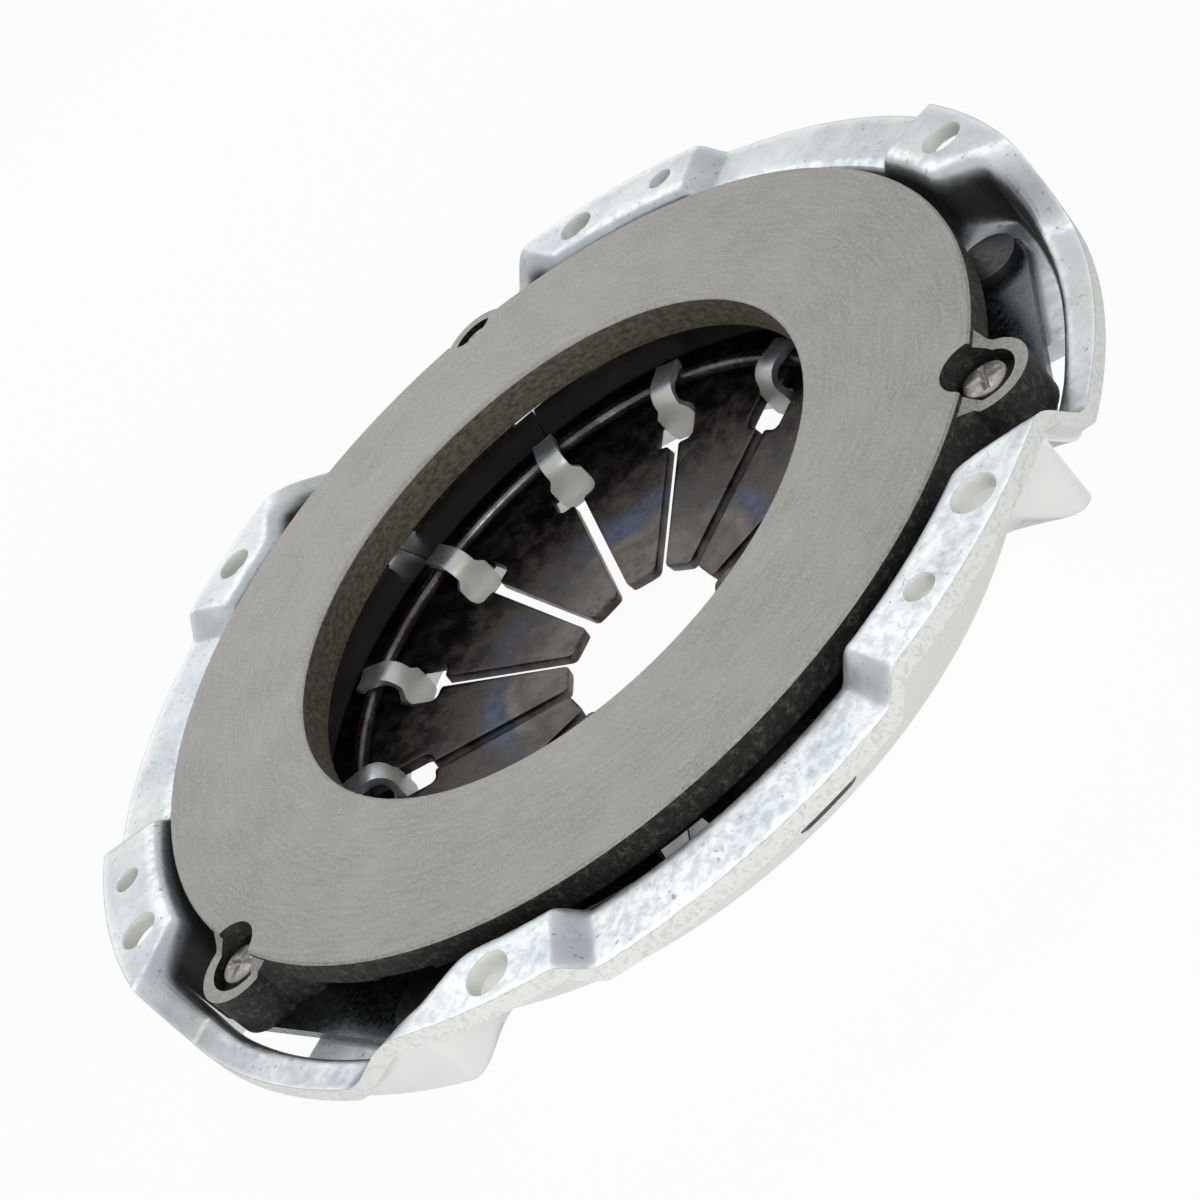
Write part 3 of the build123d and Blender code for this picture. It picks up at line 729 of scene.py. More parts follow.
@dataclass(frozen=True)
class PlainSteel:
    """Plain steel finish with grain, for wires, rivets and straps."""

    name: str
    light: Colour
    dark: Colour
    roughness: float = 0.32
    metallic: float = 0.9
    grain: float = 500.0
    depth: float = 0.03

    def build(self) -> Material:
        """Material with mottling, worn edges and fine grain."""
        p = Palette(self.name, self.metallic, self.roughness)
        stains = p.group(blotches(), scale=120.0, speck_scale=1600.0)
        wear = p.group(edge_wear(), sharpness=6.0, scale=600.0)
        base = p.blend(stains["Stain"], self.dark, self.light)
        base = p.tint(base, stains["Speck"], 0.4, tuple(0.5 * c for c in self.dark))
        base = p.tint(base, wear["Edge"], 0.6, tuple(min(1.0, 1.7 * c) for c in self.light))
        p.feed("Base Color", base)
        p.feed("Roughness", p.remap(stains["Grain"], 0.0, 1.0, self.roughness - 0.06, self.roughness + 0.1))
        p.bump(p.noise(p.position, self.grain, 3.0), self.depth, 0.6)
        return p.material


WIRE = PlainSteel("drawn_wire", (0.17, 0.16, 0.155), (0.055, 0.050, 0.048), 0.30, 0.9, 160.0, 0.008)
RIVET = PlainSteel("rivet_steel", (0.36, 0.345, 0.315), (0.13, 0.122, 0.11), 0.40, 0.8, 900.0, 0.05)
DARK_RIVET = PlainSteel("phosphated_rivet", (0.050, 0.045, 0.046), (0.022, 0.020, 0.022), 0.42, 0.75)
STRAP = PlainSteel("blued_strap", (0.085, 0.104, 0.115), (0.058, 0.070, 0.078), 0.27, 0.92, 60.0, 0.006)


# ------------------------------------------------------------------ cover
@dataclass
class PressedCover:
    """Stamped cover: bolt flange, three lug bays, wall, cone and back."""

    sheet: float = 3.8
    flange_r: float = 126.0
    wall_r: float = 109.5
    wall_end_z: float = -13.0
    cone_r: float = 98.0
    back_r: float = 92.5
    back_z: float = -32.1
    opening_r: float = 66.0
    valley_z: float = -5.0
    rim_z: float = -12.0
    rim_r: float = 118.5
    pad_z: float = -17.4
    shelf_drop: float = 3.8
    land_roll: float = 4.2
    bay_roll: float = 5.0
    window: tuple[float, float] = (9.0, 28.0)
    window_r: float = 96.0
    bay_in: tuple[float, float] = (2.6, 8.6)
    bay_out: tuple[float, float] = (50.5, 56.5)
    bay_span: tuple[float, float] = (-6.0, 70.0)
    shelf_run: tuple[float, float] = (12.0, 26.0)
    shoulder_in: float = 104.3
    shoulder_out: float = 107.5
    lip: float = 2.2
    back_bend: float = 0.44
    inner_bends: tuple[float, ...] = (1.8, 2.2, 1.0, 4.0, 0.0)
    outer_bends: tuple[float, ...] = (0.0, 1.2, 1.6, 1.0, 1.0, 5.0, 0.0)
    double_corner: BendLine = ((113.8, 5.0), (125.6, 8.2))
    single_corner: BendLine = ((110.0, 56.0), (125.6, 48.7))
    valley: tuple[float, float] = (66.5, 103.0)
    valley_run: float = 3.3
    double_run: tuple[float, float] = (-1.6, 11.0)
    single_run: tuple[float, float] = (-4.0, 17.0)
    angle_step: float = 0.5
    bend_steps: int = 6
    run_steps: tuple[int, ...] = (9, 5, 4, 3, 5, 6)
    slot_angles: tuple[float, float] = (-32.0, -24.0)
    slot_z: tuple[float, float] = (-29.0, -24.0)
    slot_reach: tuple[float, float] = (92.5, 124.0)
    slot_corner: float = 1.2

    def local(self, angle: float) -> float:
        """Angle within one repeat, counted from the start of the double land."""
        return (angle + 17.0) % BAY_PITCH - 17.0

    def bend_side(self, corner: BendLine, down: float, point: Vector) -> float:
        """Distance past a bend line towards the bay, in millimetres."""
        first, second = (polar(r, a) / MM for r, a in corner)
        along = (second - first).normalized()
        across = Vector((-along.y, along.x, 0.0)) * down
        return (point - first).dot(across)

    def flange_level(self, radius: float, angle: float) -> float:
        """Height of the flange's upper face at a place."""
        local = self.local(angle)
        start, end = self.valley
        drop = smooth(start, start + self.valley_run, local) * (1 - smooth(end - self.valley_run, end, local))
        level = self.valley_z * drop
        if self.bay_span[0] < local < self.bay_span[1]:
            point = polar(radius, local) / MM
            first = smooth(*self.double_run, self.bend_side(self.double_corner, 1, point))
            second = smooth(*self.single_run, self.bend_side(self.single_corner, -1, point))
            level += self.rim_z * min(first, second)
        return level

    def bay_share(self, angle: float) -> float:
        """How much of the bay's cross-section an angle has, 0 on the lands and 1 in the bay."""
        local = self.local(angle)
        return smooth(*self.bay_in, local) * (1 - smooth(*self.bay_out, local))

    def corners(self, angle: float) -> tuple[list[Corner], list[Corner]]:
        """Corner points of the sheet's inner and outer faces at one angle.

        Args:
            angle: Angle about the axis in degrees.

        Returns:
            Two matching lists of (radius, height, rounding).
        """
        local = self.local(angle)
        share = self.bay_share(angle)
        edge = mix(self.wall_r, self.rim_r, share)
        level = self.flange_level(edge, angle)
        outer_level = self.flange_level(edge + self.sheet, angle)
        start, end = self.window
        in_window = smooth(start - 1.5, start, local) * (1 - smooth(end, end + 1.0, local))
        cut_r = mix(self.cone_r, self.window_r, in_window)
        slope = (self.wall_end_z - self.back_z) / (self.wall_r - self.back_r)
        cone_z = self.back_z + (cut_r - self.back_r) * slope
        roll = mix(self.land_roll, self.bay_roll, share)
        shelf_z = self.pad_z - self.shelf_drop * (1 - smooth(*self.shelf_run, local))
        wall_end = mix(self.wall_end_z, shelf_z, share)
        shoulder_r = mix(self.shoulder_in, self.cone_r, share)
        shoulder_z = mix(self.back_z + (self.shoulder_in - self.back_r) * slope, shelf_z, share)
        inner = [
            (self.flange_r, level),
            (edge, level),
            (edge, wall_end),
            (shoulder_r, shoulder_z),
            (cut_r, cone_z),
            (self.back_r, self.back_z),
            (self.opening_r, self.back_z),
        ]
        t = self.sheet
        lean = t * math.sqrt(1.0 + slope * slope)
        outer_edge = edge + t
        low = mix(wall_end, shelf_z - t, share)
        under_r = mix(self.shoulder_out, self.cone_r + t, share)
        under_z = mix(self.back_z + (self.shoulder_out - self.back_r) * slope - lean, shelf_z - t, share)
        lip_z = mix(cone_z + self.lip * slope - lean, cone_z + t * slope - lean, share)
        outer = [
            (self.flange_r, outer_level - t),
            (outer_edge, outer_level - t),
            (outer_edge, low),
            (under_r, under_z),
            (cut_r + mix(self.lip, t, share), lip_z),
            (self.back_r + t * self.back_bend, self.back_z - t),
            (self.opening_r, self.back_z - t),
        ]
        inner_bends = (0.0, roll, *self.inner_bends)
        return (
            [(*place, bend) for place, bend in zip(inner, inner_bends)],
            [(*place, bend) for place, bend in zip(outer, self.outer_bends)],
        )

    def section(self, angle: float) -> tuple[list[Vector], list[Vector]]:
        """Inner and outer faces of the sheet at one angle, with matching points."""
        paths = []
        for side in self.corners(angle):
            path = rounded_path(side, self.bend_steps, self.run_steps)
            datum = self.flange_level(side[1][0], angle)
            for point in path[: self.run_steps[0] + self.bend_steps + 1]:
                point.y += self.flange_level(point.x, angle) - datum
            paths.append(path)
        return paths[0], paths[1]

    def shell(self) -> Object:
        """Closed sheet with the bay windows left open."""
        columns = int(round(360.0 / self.angle_step))
        sections = [self.section(column * self.angle_step) for column in range(columns)]
        rows = len(sections[0][0])
        block = rows * columns
        vertices = [
            polar(p.x, column * self.angle_step, p.y)
            for side in (0, 1)
            for column in range(columns)
            for p in sections[column][side]
        ]
        first_cut = self.run_steps[0] + self.bend_steps
        last_cut = sum(self.run_steps[:4]) + 3 * self.bend_steps
        faces: list[Face] = []
        rim: dict[tuple[int, int], bool] = {}
        for column in range(columns):
            middle = self.local((column + 0.5) * self.angle_step)
            open_here = self.window[0] < middle < self.window[1]
            here, there = column * rows, (column + 1) % columns * rows
            for row in range(rows - 1):
                if open_here and first_cut <= row < last_cut:
                    continue
                face = (here + row, here + row + 1, there + row + 1, there + row)
                faces.append(face)
                faces.append(tuple(block + v for v in reversed(face)))
                for a, b in zip(face, face[1:] + face[:1]):
                    if rim.pop((b, a), None) is None:
                        rim[(a, b)] = True
        faces += [(b, a, a + block, b + block) for a, b in rim]
        used = sorted({v for face in faces for v in face})
        number = {v: index for index, v in enumerate(used)}
        kept = [tuple(number[v] for v in face) for face in faces]
        obj = new_object("pressed_cover", [vertices[v] for v in used], kept)
        tidy_mesh(obj)
        return obj

    def hole_cutters(self) -> list[Object]:
        """Cutters for the bolt holes, dowel holes and cone slots."""
        bolts = [polar(BOLT_CIRCLE, 60.0 * index) for index in range(6)]
        cutters = [hole_cutter(place, BOLT_HOLE, -self.sheet, 56, 0.25) for place in bolts]
        dowels = [polar(BOLT_CIRCLE, angle) for angle in DOWELS]
        cutters += [hole_cutter(place, DOWEL_HOLE, -self.sheet, 40, 0.2) for place in dowels]
        low, high = self.slot_z
        near, far = self.slot_reach
        for bay in range(3):
            vertices, steps = [], 12
            for step in range(steps + 1):
                share = step / steps
                angle = mix(*self.slot_angles, share) + BAY_PITCH * bay
                bend = max(0.0, abs(2 * share - 1) * 6 - 5)
                corner = self.slot_corner * (1 - math.sqrt(max(0.0, 1 - bend**2)))
                for radius, height in (
                    (near, low + corner), (far, low + corner), (far, high - corner), (near, high - corner)
                ):
                    vertices.append(polar(radius, angle, height))
            faces = [(0, 1, 2, 3), tuple(4 * steps + i for i in (3, 2, 1, 0))]
            for step in range(steps):
                for side in range(4):
                    a, b = 4 * step + side, 4 * step + (side + 1) % 4
                    faces.append((a, a + 4, b + 4, b))
            cutter = new_object("slot_cutter", vertices, faces)
            tidy_mesh(cutter)
            cutters.append(cutter)
        return cutters

    def build(self, finish: Material) -> Object:
        """Finished cover, riding its body in place of the plain one."""
        obj = self.shell()
        cut(obj, self.hole_cutters())
        add_bevel(obj, 0.3, 2, 58.0)
        apply_modifiers(obj)
        obj.data.materials.clear()
        obj.data.materials.append(finish)
        shade(obj, 40.0)
        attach(obj, Body.COVER.value)
        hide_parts("cover")
        return obj


# ------------------------------------------------------------------ geometry node scatter
def ring_copies(name: str, source: Object, count: int, finish: Material, seed: int = 3) -> Object:
    """Copies of one object turned about the Z axis, made by Geometry Nodes.

    Args:
        name: Name of the result.
        source: Object to copy; it is deleted afterwards.
        count: Number of copies.
        finish: Material of the result.
        seed: Fixed seed for a random turn of each copy; the wobble is zero, so no copy is turned.

    Returns:
        One plain mesh object with every copy.
    """
    tree = bpy.data.node_groups.new(name + "_ring", "GeometryNodeTree")
    face = tree.interface
    face.new_socket("Geometry", in_out="INPUT", socket_type="NodeSocketGeometry")
    settings = (
        ("Count", "Int", count), ("Part", "Object", source), ("Finish", "Material", finish),
        ("Seed", "Int", seed), ("Wobble", "Float", 0.0),
    )
    values = {}
    for label, kind, value in settings:
        socket = face.new_socket(label, in_out="INPUT", socket_type="NodeSocket" + kind)
        values[socket.identifier] = value
    face.new_socket("Geometry", in_out="OUTPUT", socket_type="NodeSocketGeometry")
    s = Sockets(tree)
    given = s.node("NodeGroupInput").outputs
    line = s.node("GeometryNodeMeshLine", mode="OFFSET")
    s.link(given["Count"], line.inputs["Count"])
    line.inputs["Offset"].default_value = (0.0, 0.0, 0.0)
    info = s.node("GeometryNodeObjectInfo")
    s.link(given["Part"], info.inputs["Object"])
    index = s.node("GeometryNodeInputIndex").outputs[0]
    turn = s.times(s.math("DIVIDE", index, given["Count"]), 2 * math.pi)
    random = s.node("FunctionNodeRandomValue", data_type="FLOAT")
    s.link(given["Seed"], random.inputs["Seed"])
    shake = s.times(s.math("SUBTRACT", random.outputs[1], 0.5), given["Wobble"])
    euler = s.node("ShaderNodeCombineXYZ")
    s.link(s.math("ADD", turn, shake), euler.inputs[2])
    copies = s.node("GeometryNodeInstanceOnPoints")
    s.link(line.outputs[0], copies.inputs["Points"])
    s.link(info.outputs["Geometry"], copies.inputs["Instance"])
    s.link(euler.outputs[0], copies.inputs["Rotation"])
    real = s.node("GeometryNodeRealizeInstances")
    s.link(copies.outputs[0], real.inputs[0])
    dress = s.node("GeometryNodeSetMaterial")
    s.link(real.outputs[0], dress.inputs["Geometry"])
    s.link(given["Finish"], dress.inputs["Material"])
    s.link(dress.outputs[0], s.node("NodeGroupOutput").inputs[0])
    holder = new_object(name, [(0, 0, 0)], [])
    scatter = holder.modifiers.new("ring", "NODES")
    scatter.node_group = tree
    for identifier, value in values.items():
        scatter[identifier] = value
    apply_modifiers(holder)
    bpy.data.objects.remove(source)
    return holder


@dataclass
class HookTabs:
    """Twelve tabs that rise through the spring and hook over the front wire."""

    thickness: float = 2.0
    face_r: float = 62.4
    foot_r: float = 67.5
    foot_z: float = -34.0
    top_z: float = -20.55
    reach_r: float = 72.6
    base_half: float = 4.7
    neck_half: float = 2.9
    crown: float = 0.7
    steps_across: int = 14
    neck_z: tuple[float, float] = (-26.6, -24.2)
    foot_run: tuple[float, float] = (-33.0, -29.0)
    flat_z: float = -31.0

    def centre_line(self) -> list[Vector]:
        """Line of the tab in radius and height, foot first."""
        corners = [
            (self.foot_r, self.foot_z, 0.0),
            (self.face_r, self.foot_z, 2.6),
            (self.face_r + 0.2, self.top_z + 0.2, 5.6),
            (self.reach_r, self.top_z, 0.9),
            (self.reach_r + 0.5, self.top_z - 1.5, 0.0),
        ]
        return rounded_path(corners, 10, (3, 12, 8, 3))

    def half_width(self, height: float, radius: float) -> float:
        """Half width of the tab at a place on its line."""
        if radius > self.face_r + 2.2:
            end = smooth(self.reach_r - 0.5, self.reach_r + 1.4, radius)
            return mix(self.neck_half, self.neck_half * 0.72, end)
        rise = smooth(*self.neck_z, height)
        base = mix(self.base_half * 0.93, self.base_half, smooth(*self.foot_run, height))
        return mix(base, self.neck_half, rise)

    def one(self) -> Object:
        """One tab, standing at angle zero."""
        line = self.centre_line()
        across = self.steps_across
        vertices = []
        for p in line:
            half = self.half_width(p.y, p.x) if p.y > self.foot_z + 0.6 else self.base_half * 0.95
            for step in range(across + 1):
                t = 2.0 * step / across - 1.0
                bow = self.crown * (1 - t * t) * (0.4 if p.y < self.flat_z else 1.0)
                vertices.append(Vector((p.x - bow * 0.5, t * half, p.y)) * MM)
        obj = new_object("tab", vertices, sheet_faces(len(line), across + 1))
        solid = obj.modifiers.new("sheet", "SOLIDIFY")
        solid.thickness = self.thickness * MM
        solid.offset = 0.0
        solid.use_even_offset = True
        apply_modifiers(obj)
        tidy_mesh(obj)
        add_bevel(obj, 0.45, 3, 50.0)
        apply_modifiers(obj)
        obj.data.transform(Matrix.Rotation(math.radians(SLOT_ANGLE), 4, "Z"))
        shade(obj, 45.0)
        return obj

    def build(self, finish: Material) -> Object:
        """All twelve tabs as one piece on the cover's body."""
        obj = ring_copies("hook_tabs", self.one(), FINGERS, finish)
        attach(obj, Body.COVER.value)
        return obj


# ------------------------------------------------------------------ spring
@dataclass
class DiaphragmSpring:
    """Diaphragm spring, one finger and its share of the rim at a time."""

    thickness: float = 2.6
    cone: float = 11.35
    pivot_r: float = 70.0
    pivot_z: float = -26.824
    tip_r: float = 20.3
    rim_r: float = 92.0
    slot_half: float = 1.5
    window: tuple[float, float] = (54.0, 64.4)
    window_half: float = 5.7
    seam_half: float = 0.11
    corner: float = 2.0
    across: int = 18

    def height(self, radius: float) -> float:
        """Height of the middle of the sheet at a radius."""
        return self.pivot_z + (radius - self.pivot_r) * math.tan(math.radians(self.cone))

    def edge_line(self) -> list[tuple[float, float]]:
        """Edge beside a slot: radius along the slot and distance from its middle."""
        low, high = self.window
        corner, slot = self.corner, self.slot_half
        line = [(self.tip_r + x, slot + y) for x, y in ((0.02, 1.2), (0.35, 0.45), (1.0, 0.08))]
        line += [(mix(self.tip_r + 1.6, low - 0.4, i / 16), slot) for i in range(17)]
        line += [(low, slot + 0.35), (low + 0.15, slot + 1.1)]
        turns = [math.radians(15.0 * step) for step in range(7)]
        inside = self.window_half - corner
        line += [(low + 0.2 + corner * (1 - math.cos(a)), inside + corner * math.sin(a)) for a in turns]
        line += [(mix(low + corner + 0.2, high - corner, i / 4), self.window_half) for i in range(1, 4)]
        line += [(high - corner + corner * math.sin(a), inside + corner * math.cos(a)) for a in turns]
        line += [(high, mix(inside, 0.4, i / 3)) for i in range(1, 4)]
        line += [(mix(high + 0.05, self.rim_r, i / 14), self.seam_half) for i in range(15)]
        return line

    def sector(self, name: str) -> Object:
        """One finger with its share of the rim, between angle zero and one pitch."""
        line = self.edge_line()
        half_pitch = math.radians(0.5 * FINGER_PITCH)
        rows = len(line)
        centres = np.linspace(self.tip_r, self.rim_r, rows)
        smooth_r = [point[0] for point in line]
        for _ in range(12):
            inner = [(a + 2 * b + c) / 4 for a, b, c in zip(smooth_r, smooth_r[1:], smooth_r[2:])]
            smooth_r = [smooth_r[0], *inner, smooth_r[-1]]
        lean = math.radians(self.cone)
        normal = Vector((-math.sin(lean), 0.0, math.cos(lean)))
        vertices = []
        for side in (1, -1):
            for row, (along, away) in enumerate(line):
                edge = Vector((along, away))
                edge_angle = math.atan2(edge.y, edge.x)
                edge_r = edge.length
                middle_r = mix(smooth_r[row], float(centres[row]), 0.35)
                for step in range(self.across + 1):
                    t = 2.0 * step / self.across - 1.0
                    radius = mix(middle_r, edge_r, abs(t) ** 2.2)
                    radius = max(radius, self.tip_r)
                    angle = half_pitch + t * (half_pitch - edge_angle)
                    flat = Vector((radius, 0.0, self.height(radius))) + normal * (0.5 * side * self.thickness)
                    vertices.append(Matrix.Rotation(angle, 3, "Z") @ flat * MM)
        wide = self.across + 1
        block = rows * wide
        faces = sheet_faces(rows, wide, 0, True) + sheet_faces(rows, wide, block)
        last = self.across
        rim = [(row * wide, (row + 1) * wide) for row in range(rows - 1)]
        rim += [((rows - 1) * wide + step, (rows - 1) * wide + step + 1) for step in range(last)]
        rim += [((row + 1) * wide + last, row * wide + last) for row in reversed(range(rows - 1))]
        rim += [(step + 1, step) for step in reversed(range(last))]
        faces += [(a, a + block, b + block, b) for a, b in rim]
        obj = new_object(name, vertices, faces)
        tidy_mesh(obj, 1e-7)
        return obj

    def build(self, finish: Material) -> None:
        """Twelve sectors, each riding on its own body."""
        for index in range(FINGERS):
            number = f"{index + 1:02d}"
            obj = self.sector(f"spring_sector_{number}")
            add_bevel(obj, 0.28, 2, 60.0)
            apply_modifiers(obj)
            obj.data.transform(Matrix.Rotation(math.radians(SLOT_ANGLE + FINGER_PITCH * index), 4, "Z"))
            obj.data.materials.append(finish)
            shade(obj, 35.0)
            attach(obj, f"finger_body_{number}")
            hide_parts(f"spring_finger_{number}")


@dataclass
class PivotWires:
    """The two round wires the spring rolls on."""

    ring_r: float = 70.0
    wire_r: float = 1.7
    front_z: float = -23.298
    rear_z: float = -30.35
    steps: int = 180
    sides: int = 20

    def ring(self, name: str, node: str, height: float, finish: Material) -> Object:
        """One closed wire ring."""
        outline = []
        for side in range(self.sides):
            a = 2 * math.pi * side / self.sides
            outline.append((self.ring_r + self.wire_r * math.cos(a), height + self.wire_r * math.sin(a)))
        obj = spun(name, outline, self.steps)
        obj.data.materials.append(finish)
        shade(obj)
        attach(obj, Body.COVER.value)
        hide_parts(node)
        return obj

    def build(self, finish: Material) -> None:
        """Front and rear rings."""
        self.ring("front_wire", "front_pivot_ring", self.front_z, finish)
        self.ring("rear_wire", "rear_pivot_ring", self.rear_z, finish)


# ------------------------------------------------------------------ plate, straps, rivets
def softened_copy(name: str, node: Object, width: float, angle: float) -> Object:
    """Copy of a frame node with merged faces and rounded edges."""
    obj = bpy.data.objects.new(name, node.data.copy())
    bpy.context.scene.collection.objects.link(obj)
    obj.data.materials.clear()
    work = bmesh.new()
    work.from_mesh(obj.data)
    bmesh.ops.remove_doubles(work, verts=work.verts, dist=2e-6)
    bmesh.ops.dissolve_limit(work, angle_limit=math.radians(1.0), verts=work.verts, edges=work.edges)
    work.to_mesh(obj.data)
    work.free()
    obj.data.shade_smooth()
    add_bevel(obj, width, 2, angle, True)
    weigh = obj.modifiers.new("even_shading", "WEIGHTED_NORMAL")
    weigh.mode = "FACE_AREA"
    weigh.weight = 90
    apply_modifiers(obj)
    return obj


@dataclass
class PressurePlate:
    """Cast plate with its lugs, its edges softened."""

    edge: float = 0.3

    def build(self, frame: dict, finish: Material) -> Object:
        """Plate on its own body."""
        obj = softened_copy("cast_pressure_plate", frame["nodes"]["pressure_plate"], self.edge, 40.0)
        obj.data.materials.append(finish)
        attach(obj, Body.PLATE.value)
        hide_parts("pressure_plate")
        return obj


@dataclass
class DriveStraps:
    """Three packs of three flat leaves between the cover and the plate."""

    width: float = 16.0
    leaf: float = 0.8
    leaves: int = 3
    top_z: float = -15.0
    gap: float = 0.02
    steps: int = 48
    end_steps: int = 12
    across: int = 8
    hold: float = 7.0

    def ends(self, bay: int) -> tuple[Vector, Vector]:
        """Rivet centres of one bay's straps in metres, lug end first."""
        return tuple(polar(RIVET_CIRCLE, angle + BAY_PITCH * bay) for angle in (LUG_ANGLE, COVER_RIVET_ANGLE))

    def outline_half(self, along: float, length: float) -> float:
        """Half width of the strap at a place along it."""
        half = 0.5 * self.width
        over = max(-along, along - length, 0.0)
        return math.sqrt(max(half * half - over * over, 0.0))

    def leaf_mesh(self, name: str, bay: int, level: int) -> Object:
        """One leaf in its place."""
        start, end = (place / MM for place in self.ends(bay))
        along = (end - start).normalized()
        aside = Vector((-along.y, along.x, 0.0))
        length = (end - start).length
        half = 0.5 * self.width
        top = self.top_z - level * self.leaf - self.gap
        bottom = self.top_z - (level + 1) * self.leaf + self.gap
        turns = [math.radians(90.0 * step / self.end_steps) for step in range(self.end_steps + 1)]
        stations = [-half * math.cos(a) for a in turns]
        stations += [length * step / self.steps for step in range(1, self.steps)]
        stations += [length + half * math.sin(a) for a in turns]
        vertices = []
        for height in (top, bottom):
            for s in stations:
                wide = max(self.outline_half(s, length), 0.01)
                for step in range(self.across + 1):
                    t = 2.0 * step / self.across - 1.0
                    p = start + along * s + aside * (t * wide)
                    vertices.append(Vector((p.x, p.y, height)) * MM)
        count = self.across + 1
        rows = len(stations)
        block = rows * count
        faces = sheet_faces(rows, count) + sheet_faces(rows, count, block, True)
        for row in range(rows - 1):
            for side in (0, self.across):
                a, b = row * count + side, (row + 1) * count + side
                faces.append((a, b, b + block, a + block) if side else (b, a, a + block, b + block))
        for row in (0, rows - 1):
            for a in range(row * count, row * count + self.across):
                faces.append((a, a + block, a + block + 1, a + 1))
        obj = new_object(name, vertices, faces)
        tidy_mesh(obj)
        return obj

    def build(self, finish: Material) -> None:
        """Nine flat leaves, each running from the plate's lug to the cover's pad."""
        for bay in range(3):
            for level in range(self.leaves):
                obj = self.leaf_mesh(f"strap_{bay + 1}_{level + 1}", bay, level)
                obj.data.materials.append(finish)
                shade(obj, 40.0)
                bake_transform(obj)
                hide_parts(f"drive_strap_{bay + 1}_leaf_{level + 1}")


@dataclass
class Rivets:
    """Strap rivets: staked ones in the lugs and wide flat ones on the cover."""

    lug_head_r: float = 4.7
    lug_head_z: tuple[float, float] = (-7.0, -4.0)
    cover_head_r: float = 7.0
    cover_head_z: tuple[float, float] = (-15.0, -12.3)
    shank_r: float = 3.5
    tail_r: float = 5.8
    tail_h: float = 2.1
    strap_bottom: float = -17.4
    pad_bottom: float = -21.2
    stake_size: Point = (3.9, 0.62, 0.85)
    stake_turns: tuple[float, float] = (38.0, 128.0)
    steps: int = 48

    def turned(self, head_r: float, head: tuple[float, float], tail_z: float, dome: float) -> Object:
        """Rivet body about the Z axis."""
        low, high = head
        turns = [math.radians(a) for a in range(18, 91, 9)]
        outline = [(0.0, high)]
        outline += [(head_r * math.sin(a) ** 0.8, high - dome * (1 - math.cos(a))) for a in turns]
        outline += [(head_r + 0.05, high - dome - 0.4), (head_r, low), (self.shank_r, low)]
        tail = ((self.shank_r, 0.0), (self.tail_r, 0.0), (self.tail_r, 0.4), (0.85 * self.tail_r, 0.8))
        tail += ((0.55 * self.tail_r, 1.0), (0.0, 1.0))
        outline += [(radius, tail_z - share * self.tail_h) for radius, share in tail]
        return spun("rivet", outline, self.steps)

    def stake(self, obj: Object) -> None:
        """Press a cross into the head."""
        cutters = []
        long, wide, deep = self.stake_size
        top = self.lug_head_z[1]
        outline = [(-long, -wide), (long, -wide), (long, wide), (-long, wide)]
        for turn in self.stake_turns:
            vertices = [Vector((x * 1.12, y * 1.9, top + 0.6)) * MM for x, y in outline]
            vertices += [Vector((x * 0.86, y * 0.5, top - deep)) * MM for x, y in outline]
            faces = [(0, 1, 2, 3), (7, 6, 5, 4), (0, 4, 5, 1), (1, 5, 6, 2), (2, 6, 7, 3), (3, 7, 4, 0)]
            cutter = new_object("stake", vertices, faces)
            cutter.data.transform(Matrix.Rotation(math.radians(turn), 4, "Z"))
            tidy_mesh(cutter)
            cutters.append(cutter)
        cut(obj, cutters)

    def place(self, obj: Object, name: str, angle: float, body: Body, node: str, finish: Material) -> None:
        """Three copies at an angle, on a body, for a frame node."""
        add_bevel(obj, 0.18, 2, 40.0)
        apply_modifiers(obj)
        obj.data.transform(Matrix.Translation(polar(RIVET_CIRCLE, angle)))
        shade(obj, 40.0)
        made = ring_copies(name, obj, 3, finish)
        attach(made, body.value)
        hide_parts(node)

    def build(self, plain: Material, dark: Material) -> None:
        """Both sets of rivets."""
        lug = self.turned(self.lug_head_r, self.lug_head_z, self.strap_bottom, 0.5)
        self.stake(lug)
        self.place(lug, "staked_lug_rivets", LUG_ANGLE, Body.PLATE, "lug_rivets", plain)
        cover = self.turned(self.cover_head_r, self.cover_head_z, self.pad_bottom, 0.25)
        self.place(cover, "flat_strap_rivets", COVER_RIVET_ANGLE, Body.COVER, "cover_strap_rivets", dark)


# ------------------------------------------------------------------ studio
@dataclass(frozen=True)
class Lamp:
    """Square soft lamp aimed at a point on the part's axis."""

    name: str
    place: Point
    aim_z: float
    size: float
    power: float
    tint: Colour

    def build(self) -> None:
        """Put the lamp in the scene."""
        data = bpy.data.lights.new(self.name, "AREA")
        data.size = self.size
        data.energy = self.power
        data.color = self.tint
        lamp = bpy.data.objects.new(self.name, data)
        bpy.context.scene.collection.objects.link(lamp)
        aim = (Vector((0.0, 0.0, self.aim_z)) - Vector(self.place)).to_track_quat("-Z", "Y")
        lamp.matrix_world = Matrix.Translation(self.place) @ aim.to_matrix().to_4x4()


LAMPS = (
    Lamp("overhead", (-0.61, 0.31, 0.62), -0.01, 0.6, 2.0, (1.0, 0.99, 0.97)),
    Lamp("front", (0.72, -0.30, 0.34), -0.02, 0.35, 1.9, (1.0, 0.995, 0.975)),
    Lamp("low_right", (0.85, 0.05, 0.0), -0.02, 0.35, 3.0, (1.0, 1.0, 0.98)),
    Lamp("low_left", (0.10, -0.85, 0.0), -0.02, 0.35, 4.6, (1.0, 1.0, 0.98)),
)


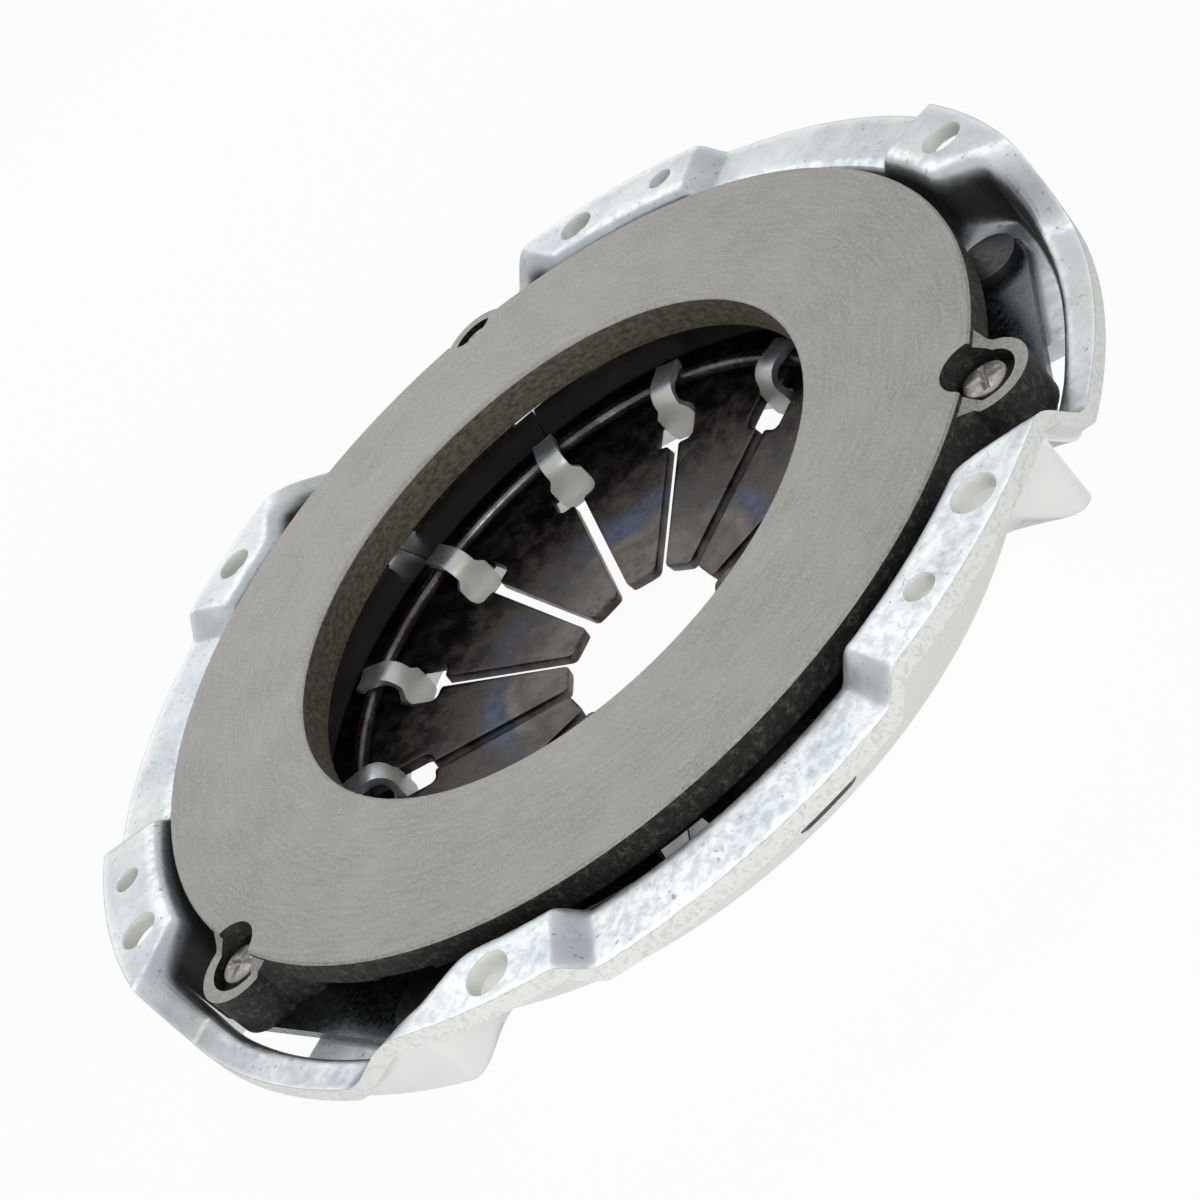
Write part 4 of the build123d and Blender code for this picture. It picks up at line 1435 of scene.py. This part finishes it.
@dataclass
class Studio:
    """Pale floor, white surround and the camera."""

    floor_z: float = -0.0385
    floor_half: float = 3.0
    camera_at: Point = (0.39583, -0.22393, 0.23879)
    camera_right: Point = (0.65357, 0.44388, -0.61304)
    camera_up: Point = (0.04064, 0.78822, 0.61405)
    camera_forward: Point = (-0.75578, 0.42624, -0.49712)
    lens: float = 73.04
    sensor: float = 36.0
    floor_glow: float = 0.95
    world_light: float = 0.20

    def two_faced(self, tree: Tree, kinds: Sequence[str], share: float) -> bpy.types.Node:
        """Shader that shows white to the camera and glossy rays, and another to the rest.

        Args:
            tree: Tree of a world or a material, cleared first.
            kinds: Node types of the other shader, the white one and the output.
            share: How far the white one takes over where it is seen.

        Returns:
            The node of the other shader.
        """
        tree.nodes.clear()
        s = Sockets(tree)
        path = s.node("ShaderNodeLightPath").outputs
        seen = s.math("MAXIMUM", path["Is Camera Ray"], path["Is Transmission Ray"])
        seen = s.math("MAXIMUM", seen, path["Is Glossy Ray"])
        other, white, out = (s.node(kind) for kind in kinds)
        white.inputs["Color"].default_value = (1.0, 1.0, 1.0, 1.0)
        white.inputs["Strength"].default_value = 1.0
        join = s.node("ShaderNodeMixShader")
        s.link(s.times(seen, share), join.inputs[0])
        s.link(other.outputs[0], join.inputs[1])
        s.link(white.outputs[0], join.inputs[2])
        s.link(join.outputs[0], out.inputs[0])
        return other

    def surround(self) -> None:
        """White world as the camera and glossy rays see it, soft light otherwise."""
        world = bpy.data.worlds.new("surround")
        bpy.context.scene.world = world
        world.use_nodes = True
        kinds = ("ShaderNodeBackground", "ShaderNodeBackground", "ShaderNodeOutputWorld")
        soft = self.two_faced(world.node_tree, kinds, 1.0)
        soft.inputs["Color"].default_value = (0.93, 0.96, 1.0, 1.0)
        soft.inputs["Strength"].default_value = self.world_light

    def floor(self) -> None:
        """Pale floor that shows white but keeps the shadow."""
        h, z = self.floor_half, self.floor_z
        obj = new_object("studio_floor", [(-h, -h, z), (h, -h, z), (h, h, z), (-h, h, z)], [(0, 1, 2, 3)])
        material = bpy.data.materials.new("pale_floor")
        material.use_nodes = True
        kinds = ("ShaderNodeBsdfDiffuse", "ShaderNodeEmission", "ShaderNodeOutputMaterial")
        matte = self.two_faced(material.node_tree, kinds, self.floor_glow)
        matte.inputs["Color"].default_value = (0.9, 0.9, 0.9, 1.0)
        obj.data.materials.append(material)

    def camera(self) -> None:
        """Camera at the fixed viewing angle."""
        data = bpy.data.cameras.new("camera")
        data.lens = self.lens
        data.sensor_width = self.sensor
        data.sensor_fit = "HORIZONTAL"
        data.clip_start = 0.01
        obj = bpy.data.objects.new("camera", data)
        bpy.context.scene.collection.objects.link(obj)
        axes = (self.camera_right, self.camera_up, self.camera_forward)
        right, up, forward = (Vector(axis).normalized() for axis in axes)
        turn = Matrix((right, up, -forward)).transposed().to_4x4()
        obj.matrix_world = Matrix.Translation(self.camera_at) @ turn
        bpy.context.scene.camera = obj

    def build(self) -> None:
        """Everything round the object."""
        bpy.context.scene.view_settings.view_transform = "Standard"
        self.surround()
        self.floor()
        for lamp in LAMPS:
            lamp.build()
        self.camera()


# ------------------------------------------------------------------ whole part
def corners(box: Sequence[Sequence[float]]) -> list[list[float]]:
    """Box as plain lists."""
    return [[float(value) for value in corner] for corner in box]


def main() -> None:
    """Build every piece in order and report it."""
    logging.basicConfig(level=logging.INFO, format="%(name)s: %(message)s")
    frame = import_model()
    zinc = ZincSheet().build()
    PressedCover().build(zinc)
    LOG.info("pressed cover")
    HookTabs().build(zinc)
    LOG.info("hook tabs")
    PressurePlate().build(frame, CastPlate().build())
    LOG.info("pressure plate")
    DiaphragmSpring().build(BluedSpring().build())
    LOG.info("diaphragm spring")
    PivotWires().build(WIRE.build())
    LOG.info("pivot wires")
    DriveStraps().build(STRAP.build())
    LOG.info("drive straps")
    Rivets().build(RIVET.build(), DARK_RIVET.build())
    LOG.info("rivets")
    Studio().build()
    LOG.info("studio")


if __name__ == "__main__":
    main()
